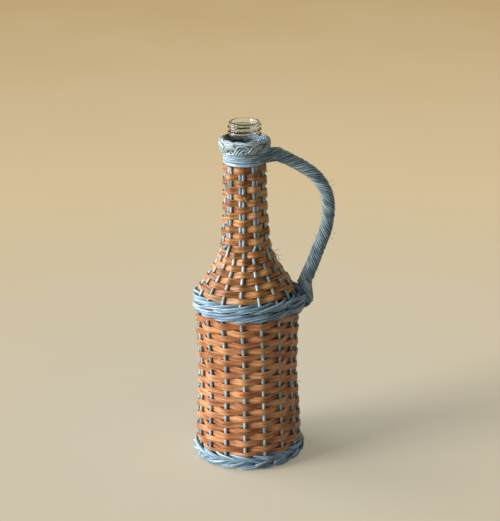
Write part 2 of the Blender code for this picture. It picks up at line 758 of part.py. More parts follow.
def make_band(parts):
    """One strand wound round the rods at the top of the neck."""
    mat = material("band_strand", STRAND_COLOUR, 0.45)
    low = BAND_BOTTOM + BAND_STRAND_RADIUS
    high = BAND_TOP - BAND_STRAND_RADIUS
    count = round(BAND_TURNS * BAND_LOOP_POINTS)
    route = []
    for i in range(count + 1):
        azimuth = BAND_START_AZIMUTH + 2 * math.pi * BAND_TURNS * i / count
        route.append(polar(azimuth, BAND_RADIUS, low + (high - low) * i / count))
    run = 2 * BAND_STRAND_RADIUS
    route.insert(0, route[0] + (route[0] - route[1]).normalized() * run)
    route.append(route[-1] + (route[-1] - route[-2]).normalized() * run)
    tube("neck_band", route, BAND_STRAND_RADIUS, 1, mat, parts)
    apart = BAND_LOOP_POINTS // 2
    spans = [
        (route[i] - route[j]).length for i in range(len(route)) for j in range(i + apart, len(route))
    ]
    print(f"neck_band least gap to itself {1000 * (min(spans) - run):.2f} mm")


def collar_point(turn):
    """The plait's single closed line after some turns round the mouth."""
    azimuth = math.pi + 2 * math.pi * turn
    phase = 5 * math.pi / 6 + 2 * math.pi * turn * COLLAR_LOBES / COLLAR_STRANDS
    half_height = COLLAR_RISE + COLLAR_STRAND_WIDTH / 2
    middle = BAND_TOP + FIT_GAP + half_height
    radius = COLLAR_RADIUS + COLLAR_DEPTH * math.sin(2 * phase)
    return polar(azimuth, radius, middle + COLLAR_RISE * math.sin(phase))


def make_collar(parts, guides):
    """A plait of three flat strands whose ends are turned in at the back."""
    mat = material("collar_strand", STRAND_COLOUR, 0.5)
    t, w = COLLAR_STRAND_THICKNESS / 2, COLLAR_STRAND_WIDTH / 2
    outline = section(
        "collar_section", [(t, -w / 2), (t, w / 2), (0.0, w), (-t, w / 2), (-t, -w / 2), (0.0, -w)], guides
    )
    period = COLLAR_STRANDS / COLLAR_LOBES
    joints = [strand + period * strand / 6 for strand in range(1, COLLAR_STRANDS)]
    cuts = [0.0] + joints + [float(COLLAR_STRANDS)]
    for strand, (first, last) in enumerate(zip(cuts, cuts[1:])):
        count = round((last - first) / period * COLLAR_POINTS_PER_PERIOD)
        route = [collar_point(first + (last - first) * i / count) for i in range(count + 1)]
        route = pull_back(route, BUTT_GAP / 2)
        swept(f"collar_strand_{strand + 1}", route, outline, mat, parts, twist="Z_UP")


# Handle


def handle_line(count):
    """Evenly spaced points on a smooth line through the handle's shares, and their lengths."""
    rise = HANDLE_TOP - HANDLE_BOTTOM
    band = BAND_RADIUS + BAND_STRAND_RADIUS + HANDLE_BAND_GAP
    wale = wale_front((WALE_BOTTOM, WALE_TOP)) + WALE_STRAND_RADIUS + FIT_GAP + HANDLE_END_RADIUS
    knots = []
    for start, shares in ((band, HANDLE_UPPER_SHARES), (wale, HANDLE_LOWER_SHARES)):
        for out, up in shares:
            knots.append(Vector((start + (HANDLE_REACH - start) * out, 0.0, HANDLE_BOTTOM + rise * up)))
    knots = [2 * knots[0] - knots[1]] + knots + [2 * knots[-1] - knots[-2]]
    fine = []
    for p0, p1, p2, p3 in zip(knots, knots[1:], knots[2:], knots[3:]):
        for i in range(HANDLE_LINE_STEPS):
            t = i / HANDLE_LINE_STEPS
            fine.append(
                0.5 * (2 * p1 + (p2 - p0) * t + (2 * p0 - 5 * p1 + 4 * p2 - p3) * t * t
                       + (3 * p1 - p0 - 3 * p2 + p3) * t * t * t)
            )
    fine.append(knots[-2])
    lengths = [0.0]
    for a, b in zip(fine, fine[1:]):
        lengths.append(lengths[-1] + (b - a).length)
    points = []
    marks = []
    i = 0
    for step in range(count + 1):
        mark = lengths[-1] * step / count
        while i < len(fine) - 2 and mark > lengths[i + 1]:
            i += 1
        share = (mark - lengths[i]) / (lengths[i + 1] - lengths[i])
        points.append(fine[i].lerp(fine[i + 1], min(1.0, share)))
        marks.append(mark)
    return points, marks


def handle_scales(marks):
    """The handle thins where it meets the neck band and where it lies along the wale."""
    total = marks[-1]
    scales = []
    for mark in marks:
        top = smooth_step(mark / HANDLE_TOP_TAPER)
        foot = smooth_step((total - mark - HANDLE_FOOT_TAPER / 2) / HANDLE_FOOT_TAPER)
        scales.append(HANDLE_END_SHARE + (1 - HANDLE_END_SHARE) * min(top, foot))
    return scales


def make_handle(parts, guides):
    """A core rod and the strands twisted round it."""
    mat = material("handle_strand", HANDLE_COLOUR, 0.5)
    points, marks = handle_line(HANDLE_CORE_POINTS)
    outline = round_section("core_section", HANDLE_CORE_RADIUS, HANDLE_CORE_SIDES, guides)
    core_mat = material("handle_core", HANDLE_COLOUR, 0.6)
    swept("handle_core", points, outline, core_mat, parts, scales=handle_scales(marks))

    length = marks[-1]
    points, marks = handle_line(round(length / HANDLE_LEAD * HANDLE_POINTS_PER_TURN))
    inner, outer = HANDLE_STRAND_SEAT, HANDLE_STRAND_SEAT + HANDLE_STRAND_THICKNESS
    half = HANDLE_STRAND_WIDTH / 2
    outline = section("wrap_section", [(inner, -half), (outer, -half), (outer, half), (inner, half)], guides)
    scales = handle_scales(marks)
    for strand in range(HANDLE_STRANDS):
        first = 2 * math.pi * strand / HANDLE_STRANDS
        tilts = [first - 2 * math.pi * mark / HANDLE_LEAD for mark in marks]
        swept(f"handle_strand_{strand + 1}", points, outline, mat, parts, tilts, scales)


def main():
    for item in list(bpy.data.objects):
        bpy.data.objects.remove(item)
    parts = collection("wicker_covered_bottle")
    cutters = collection("cutters")
    make_glass(parts)
    floor = floor_cutter(cutters)
    make_rods(parts, cutters, floor)
    make_base_cane(parts, cutters)
    make_wales(parts, cutters, floor)
    make_cover(parts, cutters)
    make_band(parts)
    make_collar(parts, cutters)
    make_handle(parts, cutters)


main()
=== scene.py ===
"""The looks of a clear glass bottle in a woven cane cover with a roped side handle.

Metres, +Z up, with the bottle's axis at the origin and the handle along +X. Azimuths run from the
front, -Y, towards +X. The cover is real basketry, laid along the same line of rods as the solids.
"""

from math import atan, cos, pi, radians, sin

import bpy
import numpy as np
from mathutils import Matrix, Vector


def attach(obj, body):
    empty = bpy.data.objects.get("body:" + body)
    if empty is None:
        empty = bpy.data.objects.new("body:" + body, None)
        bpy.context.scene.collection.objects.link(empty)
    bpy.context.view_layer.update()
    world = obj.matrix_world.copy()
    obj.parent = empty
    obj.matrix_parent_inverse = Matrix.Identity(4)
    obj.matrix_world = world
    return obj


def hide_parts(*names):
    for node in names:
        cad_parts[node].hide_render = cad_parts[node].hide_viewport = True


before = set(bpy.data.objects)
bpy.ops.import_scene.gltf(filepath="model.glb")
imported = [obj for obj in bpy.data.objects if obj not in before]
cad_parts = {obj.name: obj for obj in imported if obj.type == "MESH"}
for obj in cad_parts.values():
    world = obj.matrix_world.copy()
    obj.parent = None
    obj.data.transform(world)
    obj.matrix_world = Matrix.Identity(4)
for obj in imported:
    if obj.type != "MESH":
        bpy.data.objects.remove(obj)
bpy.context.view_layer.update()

MM = 0.001
TAU = 2 * pi
UP = np.array([0.0, 0.0, 1.0])
FRONT = np.array([0.0, -1.0, 0.0])

# Camera: the photograph's frame is 500 x 521
CAMERA_PLACE = (0.0030, -1.3074, 0.6205)
CAMERA_PITCH = radians(19.11)
CAMERA_ROLL = radians(0.77)
FOCAL_PIXELS = 1700.0
LONG_SIDE_PIXELS = 521.0
SENSOR_WIDTH = 36.0

# Light: azimuth and elevation in degrees, strength, softness in degrees, and colour
WINDOW = (-69, 16, 3.2, 30, (1.0, 0.975, 0.93))
SIDE_WINDOW = (-108, 16, 2.15, 60, (0.90, 0.95, 1.0))
ROOM_COLOUR = (0.87, 0.97, 0.95)
ROOM_STRENGTH = 0.24

# Floor and backdrop
BACKDROP = (0.49, 0.335, 0.15)
BACKDROP_GLOW = 0.85
FLOOR_HALF_WIDTH = 12.0
FLOOR_NEAR = (0.595, 0.53, 0.415)
FLOOR_BEYOND = (0.655, 0.495, 0.285)
FLOOR_MOTTLE = (0.76, 0.66, 0.50)
FLOOR_BOUNCE = (0.24, 0.20, 0.15)
FLOOR_GLOW = 0.32

# The line of rods from the foot to the neck, and the glass inside it: radius and height in mm
ROD_LINE = (
    (42.3, 7.6), (41.4, 37), (39.1, 75.4), (40.5, 109.6), (41.3, 137), (38.2, 144.6), (33.5, 151.8),
    (27.8, 160.6), (22.1, 170.2), (18.7, 180.1), (18, 184.3), (16.1, 212.2), (15.1, 249.6), (14.9, 256),
)
GLASS_LINE = (
    (36.1, 14), (36.1, 136), (34.6, 143.1), (30.7, 150.2), (25.2, 159.1), (19.3, 169), (15.8, 179.3),
    (15, 184), (13.1, 212.1), (12.1, 249.5), (11.9, 262),
)
LINE_STEP = 0.25 * MM
LINE_SMOOTHING = 6 * MM

# Rods
ROD_COUNT = 17
ROD_STEP = TAU / ROD_COUNT
FIRST_ROD = radians(-5.2)
ROD_RADIUS = 1.26 * MM
ROD_FOOT_HEIGHT = 2.6 * MM
ROD_BEND = 5 * MM
ROD_SIDE_TILT = 0.35 * UP
FAN_RADIUS = 17 * MM
CROSS_SPACING, CROSS_REACH = 2.6 * MM, 6.8 * MM
CROSS_LOW, CROSS_HIGH = 1.3 * MM, 3.8 * MM
FRONT_SPREAD = radians(3.5)
LEAN_LOW, LEAN_HIGH = radians(1.3), radians(-1.9)
LEAN_SPAN = (85 * MM, 150 * MM)
GROUPS = ((-1, 0), (1, 2), (3, 4), (5, 6), (7, 8), (9,), (10, 11), (12, 13), (14, 15))
FIRST_GROUP = radians(-10.4)
GROUP_STEP = TAU / len(GROUPS)
PAIR_SPACING = 2.6 * MM
PAIRING = (179 * MM, 186 * MM)

# The rods' tops under the band: height and radius in mm
ROD_TOPS = ((253, 13.9), (256, 13.4), (259.2, 13.3))

# Cane. Each span: bottom, top, rows, first rod, and whether it closes round the groups of the neck
CANE_WIDTH = 5.7 * MM
CANE_THICKNESS = 1.25 * MM
BODY_SPAN = (11.7 * MM, 128.9 * MM, 22, 5, False)
UPPER_SPAN = (143.2 * MM, 250.8 * MM, 21, 1, True)
SWITCH_HEIGHT = 177.7 * MM
START_SKIP = 3
LAST_ROW_SHARE = 0.15
GROOVE_SHARE = 0.14
EDGE_ROOM = 1 * MM

# How the cane passes a rod or a group: its offset from the line of rods in mm, and its corner's cut
OVER_ROD, UNDER_ROD = (2.15, 0.25), (-2.1, 0.3)
OVER_EDGE, OVER_MIDDLE, UNDER_GROUP = (1.85, 0.34), (2.25, 0.4), (-2.15, 0.4)


# Lines of the cover


class Line:
    """A smooth line in the radius and height plane, by its length."""

    def __init__(self, corners):
        corners = np.array(corners) * MM
        steps = np.hypot(*np.diff(corners, axis=0).T)
        marks = np.concatenate([[0.0], np.cumsum(steps)])
        self.arc = np.arange(0.0, marks[-1], LINE_STEP)
        count = int(LINE_SMOOTHING / LINE_STEP)
        kernel = np.ones(count) / count
        pad = count // 2
        values = []
        for column in corners.T:
            fine = np.interp(self.arc, marks, column)
            for _ in range(2):
                low = 2 * fine[0] - fine[1:pad + 1][::-1]
                high = 2 * fine[-1] - fine[-pad - 1:-1][::-1]
                fine = np.convolve(np.concatenate([low, fine, high]), kernel, "same")[pad:-pad]
            values.append(fine)
        self.radius, self.height = values
        self.lean = np.arctan2(-np.gradient(self.radius), np.gradient(self.height))

    def at(self, arc):
        """Radius, height and lean towards the axis."""
        return tuple(float(np.interp(arc, self.arc, v)) for v in (self.radius, self.height, self.lean))

    def arc_at(self, height):
        return float(np.interp(height, self.height, self.arc))

    def radius_at(self, height):
        return float(np.interp(height, self.height, self.radius))


COVER = Line(ROD_LINE)
GLASS = Line(GLASS_LINE)


def polar(azimuth, radius, height):
    return np.array([radius * sin(azimuth), -radius * cos(azimuth), height])


def outward(azimuth, lean=0.0):
    return np.array([sin(azimuth) * cos(lean), -cos(azimuth) * cos(lean), sin(lean)])


def ease(share):
    share = min(1.0, max(0.0, share))
    return share * share * (3 - 2 * share)


def nominal(rod):
    """Azimuth of a rod: a little further apart at the front than at the back."""
    even = FIRST_ROD + ROD_STEP * rod
    return even + FRONT_SPREAD * sin(even)


def lean_at(height):
    """How far the rods lean round the body at a height."""
    bottom, top = LEAN_SPAN
    share = ease((height - bottom) / (top - bottom))
    return (LEAN_LOW + (LEAN_HIGH - LEAN_LOW) * share) * (1 - ease((height - top) / (PAIRING[0] - top)))


def group_of(rod):
    """The group that a rod joins on the neck, its place in it, and the group's size."""
    for index, members in enumerate(GROUPS):
        for place, member in enumerate(members):
            if (member - rod) % ROD_COUNT == 0:
                return index + (rod - member) // ROD_COUNT * len(GROUPS), place, len(members)


def rod_azimuth(rod, radius, height):
    index, place, size = group_of(rod)
    grouped = FIRST_GROUP + GROUP_STEP * index + (place - (size - 1) / 2) * PAIR_SPACING / radius
    share = ease((height - PAIRING[0]) / (PAIRING[1] - PAIRING[0]))
    return (nominal(rod) + lean_at(height)) * (1 - share) + grouped * share


def curve_through(knots, steps):
    """A smooth line through points, with the same number of steps between each two."""
    knots = np.asarray(knots, dtype=float)
    knots = np.vstack([2 * knots[0] - knots[1], knots, 2 * knots[-1] - knots[-2]])
    fine = []
    for p0, p1, p2, p3 in zip(knots, knots[1:], knots[2:], knots[3:]):
        for t in np.linspace(0, 1, steps, endpoint=False):
            fine.append(0.5 * (2 * p1 + (p2 - p0) * t + (2 * p0 - 5 * p1 + 4 * p2 - p3) * t * t
                               + (3 * p1 - p0 - 3 * p2 + p3) * t ** 3))
    return np.array(fine + [knots[-2]])


def sway(rng, count, waves):
    """A slow random swing between about -1 and 1 along a strand."""
    marks = np.linspace(0, TAU * waves, count)
    total = np.zeros(count)
    for rate in (1.0, 2.3, 4.1):
        total += np.sin(marks * rate + rng.uniform(0, TAU)) / (1 + rate)
    return total


# Strands

UV_PER_METRE = 100
UV_GAP = 3.7


def add_object(name, data):
    made = bpy.data.objects.new(name, data)
    bpy.context.scene.collection.objects.link(made)
    return made


def smooth_mesh(name, verts, faces, material):
    mesh = bpy.data.meshes.new(name)
    mesh.from_pydata(verts, [], faces)
    mesh.materials.append(material)
    mesh.polygons.foreach_set("use_smooth", [True] * len(mesh.polygons))
    return mesh


def unit(rows):
    return rows / np.linalg.norm(rows, axis=-1, keepdims=True)


def directions(path, outs, closed):
    """A path's outward sides, squared to it, and its directions across."""
    along = unit(np.roll(path, -1, 0) - np.roll(path, 1, 0) if closed else np.gradient(path, axis=0))
    outs = unit(outs - along * np.sum(outs * along, axis=1)[:, None])
    return outs, np.cross(along, outs)


class Weave:
    """Strands gathered into one mesh, with their length and girth as a UV map in centimetres and turns."""

    def __init__(self, name):
        self.name = name
        self.verts, self.faces, self.uvs = [], [], []
        self.count, self.run = 0, 0.0

    def strand(self, path, outs, widths, thicks, sides=10, square=1.0, ribs=0, closed=False):
        """A strand along a path: wide across, thick along its outward side."""
        path = np.asarray(path, dtype=float)
        n = len(path)
        widths = np.broadcast_to(widths, n)
        thicks = np.broadcast_to(thicks, n)
        outs, across = directions(path, np.asarray(outs, dtype=float), closed)
        angles = pi + TAU * np.arange(sides) / sides
        x = np.sign(np.cos(angles)) * np.abs(np.cos(angles)) ** square
        y = np.sign(np.sin(angles)) * np.abs(np.sin(angles)) ** square
        if ribs:
            x = x * (1 - GROOVE_SHARE * (0.5 + 0.5 * np.cos(pi * ribs * (y + 1))))
        ring = (path[:, None, :] + outs[:, None, :] * (thicks[:, None] / 2 * x)[:, :, None]
                + across[:, None, :] * (widths[:, None] / 2 * y)[:, :, None])
        steps = np.linalg.norm(np.diff(path, axis=0, append=path[:1]), axis=1) * UV_PER_METRE
        lengths = self.run + np.concatenate([[0.0], np.cumsum(steps)])
        rows = n if closed else n - 1
        i, k = np.meshgrid(np.arange(rows), np.arange(sides), indexing="ij")
        j, m = (i + 1) % n, (k + 1) % sides
        quads = self.count + np.stack([i * sides + k, i * sides + m, j * sides + m, j * sides + k], axis=-1)
        u0, u1 = lengths[i], lengths[i + 1]
        v0, v1 = k / sides, (k + 1) / sides
        corners = np.stack([u0, v0, u0, v1, u1, v1, u1, v0], axis=-1)
        self.verts.append(ring.reshape(-1, 3))
        self.faces += quads.reshape(-1, 4).tolist()
        self.uvs.append(corners.reshape(-1))
        if not closed:
            for start, order in ((0, -1), (n - 1, 1)):
                self.faces.append([self.count + start * sides + s for s in range(sides)][::order])
                cap = np.array([(lengths[start], s / sides) for s in range(sides)][::order])
                self.uvs.append(cap.reshape(-1))
        self.count += n * sides
        self.run = lengths[-1] + UV_GAP

    def woven(self, rows, steps, **shape):
        """A strand in and out of rods: rows of place, outward side, cut, and width and thickness."""
        path, outs, sizes = rounded(*zip(*rows), steps)
        self.strand(path, outs, sizes[:, 0], sizes[:, 1], **shape)

    def hoop(self, azimuths, radius, heights, width, thick, **shape):
        """A strand laid round the bottle."""
        path = [polar(azimuth, radius, height) for azimuth, height in zip(azimuths, heights)]
        self.strand(path, [outward(azimuth) for azimuth in azimuths], width, thick, **shape)

    def build(self, material, slot, *nodes):
        mesh = smooth_mesh(self.name, np.concatenate(self.verts).tolist(), self.faces, material)
        layer = mesh.uv_layers.new(name="strand")
        layer.data.foreach_set("uv", np.concatenate(self.uvs))
        mesh.validate()
        piece = add_object(self.name, mesh)
        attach(piece, "root")
        if nodes:
            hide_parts(*nodes)


def rounded(points, outs, cuts, sizes, steps, closed=False):
    """A route through corner points with each corner rounded: places, outward sides and sizes."""
    points, outs, sizes = (np.asarray(rows, dtype=float) for rows in (points, outs, sizes))
    last = len(points) - 1
    rows = []
    for i, cut in enumerate(cuts):
        if not closed and i in (0, last):
            rows.append((points[i], outs[i], sizes[i]))
            continue
        before, after = i - 1, i + 1 if i < last else 0
        for t in np.linspace(0.0, 1.0, steps):
            p = points[i] + (points[before] - points[i]) * cut
            q = points[i] + (points[after] - points[i]) * cut
            blend = (2 * t - 1) * cut
            other, share = after if blend > 0 else before, abs(blend)
            rows.append(((1 - t) ** 2 * p + 2 * t * (1 - t) * points[i] + t * t * q,
                         outs[i] * (1 - share) + outs[other] * share,
                         sizes[i] * (1 - share) + sizes[other] * share))
    return tuple(np.array(column) for column in zip(*rows))


# Materials


def join(node, **inputs):
    """Sets or links a node's sockets, by name or as i and a number."""
    for key, value in inputs.items():
        index = int(key[1:]) if key[0] == "i" and key[1:].isdigit() else key.replace("_", " ")
        if isinstance(value, bpy.types.NodeSocket):
            node.id_data.links.new(value, node.inputs[index])
        else:
            node.inputs[index].default_value = value
    return node


def nodes_of(tree):
    """A short way to add a node with its sockets set or linked."""

    def add(kind, settings=None, **inputs):
        made = tree.nodes.new("ShaderNode" + kind)
        for key, value in (settings or {}).items():
            setattr(made, key, value)
        return join(made, **inputs)

    return add


def new_material(name):
    """A node material, its shader, and the way to add nodes to it."""
    material = bpy.data.materials.new(name)
    material.use_nodes = True
    return material, material.node_tree.nodes["Principled BSDF"], nodes_of(material.node_tree)


def math_node(add, operation, a, b=0.0):
    return add("Math", {"operation": operation}, i0=a, i1=b).outputs[0]


def times(add, a, b):
    return math_node(add, "MULTIPLY", a, b)


def ramp(add, value, stops):
    made = add("ValToRGB", Fac=value)
    elements = made.color_ramp.elements
    while len(elements) < len(stops):
        elements.new(0.5)
    for element, (place, colour) in zip(elements, stops):
        element.position = place
        element.color = (*colour, 1.0)
    return made.outputs["Color"]


def mix(add, factor, a, b):
    """Colour a, or b where the factor is one."""
    a, b = (value if isinstance(value, bpy.types.NodeSocket) else (*value, 1.0) for value in (a, b))
    return add("Mix", {"data_type": "RGBA"}, i0=factor, i6=a, i7=b).outputs[2]


def fibre_group():
    """Long plant fibres along a strand: streaks, slow patches, painted shade towards its two edges, and a height
    for the bump.
    """
    tree = bpy.data.node_groups.new("plant_fibre", "ShaderNodeTree")
    for name, value in (("Length", 1.0), ("Girth", 9.0), ("Patch Length", 0.5)):
        tree.interface.new_socket(name, in_out="INPUT", socket_type="NodeSocketFloat").default_value = value
    for name in ("Streak", "Patch", "Edge Shade", "Height"):
        tree.interface.new_socket(name, in_out="OUTPUT", socket_type="NodeSocketFloat")
    add = nodes_of(tree)
    given = tree.nodes.new("NodeGroupInput")
    result = tree.nodes.new("NodeGroupOutput")
    place = add("SeparateXYZ", Vector=add("UVMap", {"uv_map": "strand"}).outputs[0])
    length, turn = place.outputs[0], place.outputs[1]

    def noise(along, round_it, detail, roughness):
        place = add("CombineXYZ", X=along, Y=round_it).outputs[0]
        return add("TexNoise", Vector=place, Scale=1.0, Detail=detail, Roughness=roughness).outputs[0]

    along = times(add, length, given.outputs["Length"])
    girth = times(add, turn, given.outputs["Girth"])
    coarse = noise(along, girth, 3.0, 0.55)
    hair = noise(along, times(add, girth, 3.6), 2.0, 0.5)
    both = math_node(add, "ADD", times(add, coarse, 0.68), times(add, hair, 0.32))
    slow = noise(times(add, length, given.outputs["Patch Length"]), times(add, turn, 1.3), 2.0, 0.5)
    away = math_node(add, "ABSOLUTE", math_node(add, "SUBTRACT", turn, 0.5))
    # Edge Shade is painted shade, rising towards both edges of a strand.
    for name, value, low, high in (("Streak", both, 0.39, 0.61), ("Patch", slow, 0.36, 0.64),
                                   ("Edge Shade", away, 0.13, 0.25)):
        ranged = add("MapRange", {"interpolation_type": "SMOOTHSTEP"}, Value=value, From_Min=low, From_Max=high)
        tree.links.new(ranged.outputs[0], result.inputs[name])
    tree.links.new(both, result.inputs["Height"])
    return tree


FIBRE = fibre_group()


def strand_material(name, colours, roughness, length, girth, patch, bump, edge_shade, patch_share=0.5, wear=None,
                    coat=0.0):
    """A strand's finish: dark, middle and light streaks along its fibres, and painted shade that darkens it
    towards the grooves beside it.
    """
    material, shader, add = new_material(name)
    fibre = add("Group", {"node_tree": FIBRE}, Length=length, Girth=girth, Patch_Length=patch)
    streak, slow = fibre.outputs["Streak"], fibre.outputs["Patch"]
    blend = math_node(add, "ADD", times(add, streak, 1 - patch_share), times(add, slow, patch_share))
    dark, middle, light = colours
    colour = ramp(add, blend, ((0.06, dark), (0.5, middle), (0.94, light)))
    if wear:
        worn = times(add, add("MapRange", Value=streak, From_Min=0.6, From_Max=0.95).outputs[0],
                     add("MapRange", Value=slow, From_Min=0.45, From_Max=0.9).outputs[0])
        colour = mix(add, worn, colour, wear)
    # Painted shade: the strand's colour darkened towards both its edges.
    painted_edge_shade = times(add, fibre.outputs["Edge Shade"], edge_shade)
    colour = mix(add, painted_edge_shade, colour, tuple(0.25 * value for value in dark))
    rough = add("MapRange", Value=streak, To_Min=roughness + 0.1, To_Max=roughness - 0.06).outputs[0]
    bumped = add("Bump", Height=fibre.outputs["Height"], Strength=bump, Distance=1 * MM).outputs[0]
    join(shader, Base_Color=colour, Roughness=rough, Normal=bumped, Coat_Weight=coat, Coat_Roughness=0.35)
    return material


def glass_material():
    """Clear bottle glass with a faint green tint and slow ripples."""
    material, shader, add = new_material("clear_glass")
    place = add("TexCoord").outputs["Object"]
    ripple = add("TexNoise", Vector=place, Scale=60.0, Detail=1.0).outputs[0]
    tint = ramp(add, ripple, ((0.3, (0.90, 0.965, 0.96)), (0.7, (0.95, 0.985, 0.98))))
    join(shader, Base_Color=tint, Normal=add("Bump", Height=ripple, Strength=0.02, Distance=0.2 * MM).outputs[0])
    shader.inputs["Roughness"].default_value = 0.0
    shader.inputs["Transmission Weight"].default_value = 1.0
    shader.inputs["IOR"].default_value = 1.5
    return material


CANE = strand_material(
    "brown_cane", ((0.22, 0.070, 0.024), (0.61, 0.232, 0.084), (0.90, 0.48, 0.23)), 0.44,
    length=0.55, girth=13.0, patch=0.35, bump=0.8, edge_shade=0.6, patch_share=0.45, coat=0.22)
# The cane of the shoulder and the neck: a little browner than the body's, and darker as painted shade.
CANE_UPPER_SHADED = strand_material(
    "brown_cane_upper_shaded", ((0.165, 0.057, 0.016), (0.52, 0.207, 0.060), (0.85, 0.47, 0.185)), 0.44,
    length=0.55, girth=13.0, patch=0.35, bump=0.8, edge_shade=0.65, patch_share=0.45, coat=0.25)
ROD = strand_material(
    "pale_blue_rod", ((0.15, 0.28, 0.36), (0.385, 0.56, 0.665), (0.70, 0.84, 0.91)), 0.36,
    length=1.2, girth=4.0, patch=0.8, bump=0.3, edge_shade=0.3, coat=0.6)
STRAND = strand_material(
    "blue_strand", ((0.11, 0.22, 0.34), (0.33, 0.52, 0.70), (0.60, 0.76, 0.88)), 0.4,
    length=0.6, girth=3.2, patch=0.45, bump=0.4, edge_shade=0.8, wear=(0.66, 0.77, 0.80), coat=0.3)
BAND = strand_material(
    "band_strand", ((0.11, 0.21, 0.31), (0.42, 0.61, 0.78), (0.77, 0.90, 0.98)), 0.38,
    length=0.6, girth=3.0, patch=0.45, bump=0.4, edge_shade=0.75, wear=(0.76, 0.86, 0.88), coat=0.35)
COLLAR = strand_material(
    "collar_strand", ((0.11, 0.20, 0.25), (0.52, 0.66, 0.74), (0.90, 0.98, 1.0)), 0.4,
    length=0.9, girth=2.5, patch=0.7, bump=0.4, edge_shade=0.85, wear=(0.84, 0.90, 0.88), coat=0.3)
HANDLE = strand_material(
    "slate_strand", ((0.12, 0.205, 0.26), (0.275, 0.41, 0.50), (0.43, 0.575, 0.66)), 0.42,
    length=0.7, girth=1.9, patch=0.7, bump=0.45, edge_shade=0.95, wear=(0.44, 0.57, 0.50), coat=0.15)
# Navy strands, dark as painted shade: inside the collar and in the gaps round the handle's foot.
NAVY_SHADE = strand_material(
    "navy_painted_shade", ((0.05, 0.085, 0.15), (0.19, 0.28, 0.41), (0.46, 0.57, 0.70)), 0.5,
    length=0.9, girth=4.0, patch=0.8, bump=0.5, edge_shade=0.6)
CUT_END = strand_material(
    "cut_end", ((0.34, 0.42, 0.44), (0.55, 0.62, 0.62), (0.80, 0.83, 0.77)), 0.5,
    length=2.0, girth=4.0, patch=1.5, bump=0.3, edge_shade=0.1)
STRAW = strand_material(
    "straw_fibre", ((0.50, 0.27, 0.11), (0.80, 0.52, 0.27), (0.96, 0.78, 0.52)), 0.5,
    length=1.5, girth=2.0, patch=1.0, bump=0.2, edge_shade=0.1)


# Glass

GLASS_SEGMENTS = 192
GLASS_WALL = 2.6 * MM
BORE_RADIUS = 9.6 * MM
NECK_BORE_RADIUS = 9.2 * MM
LIP_RADIUS = 10.3 * MM
LIP_HEIGHT, LIP_RISE = 283.6 * MM, 0.7 * MM
FINISH_RADIUS = 12.42 * MM
THREAD_PITCH = 3.9 * MM
THREAD_FRONT = 281.1 * MM
THREAD_ENDS = (-1.85, 0.32)
THREAD_FADE = 0.1
THREAD_REACH = 1.15 * MM
THREAD_HALF = 1.3 * MM

# The bottle's foot: the punt's edge and dome, and the corners' radius and height
PUNT_RADIUS, PUNT_RISE = 23 * MM, 3 * MM
FOOT_HEIGHT, FOOT_INSIDE_HEIGHT = 5.3 * MM, 9.8 * MM
FOOT_FLAT_RADIUS, CORNER_CENTRE = 28.5 * MM, 28.1 * MM
OUTER_CORNER = (8 * MM, 13.3 * MM)
INNER_CORNER = (5.4 * MM, 15.2 * MM)

# The bead under the finish: radius and height in mm
BEAD = ((11.9, 262), (12.4, 263.2), (13.2, 264), (13.5, 264.9), (13.4, 265.9), (12.8, 266.8))


def thread_ridge(azimuth, height):
    """The right-hand screw thread on the bottle's finish."""
    out = 0.0
    for turn in (-2, -1, 0):
        run = azimuth / TAU + turn
        if not THREAD_ENDS[0] <= run <= THREAD_ENDS[1]:
            continue
        fade = ease((run - THREAD_ENDS[0]) / THREAD_FADE) * ease((THREAD_ENDS[1] - run) / THREAD_FADE)
        away = min(1.0, abs(height - THREAD_FRONT - THREAD_PITCH * run) / THREAD_HALF)
        out = max(out, fade * THREAD_REACH * (0.5 + 0.5 * cos(pi * away)))
    return out


def turned(outer, inner):
    """Corners and faces of a closed turned body, with the thread on its outer line."""
    line, count = outer + inner, GLASS_SEGMENTS
    verts = []
    for index, (radius, height) in enumerate(line):
        for k in range(count):
            azimuth = TAU * k / count
            extra = thread_ridge(azimuth, height) if index < len(outer) else 0.0
            verts.append(tuple(polar(azimuth, radius + extra, height)))
    faces = []
    for i in range(len(line) - 1):
        for k in range(count):
            m = (k + 1) % count
            faces.append((i * count + k, i * count + m, (i + 1) * count + m, (i + 1) * count + k))
    foot, pit = len(verts), len(verts) + 1
    verts += [(0.0, 0.0, outer[0][1] + PUNT_RISE), (0.0, 0.0, inner[-1][1] + PUNT_RISE)]
    last = (len(line) - 1) * count
    for k in range(count):
        m = (k + 1) % count
        faces += [(foot, m, k), (pit, last + k, last + m)]
    return verts, faces


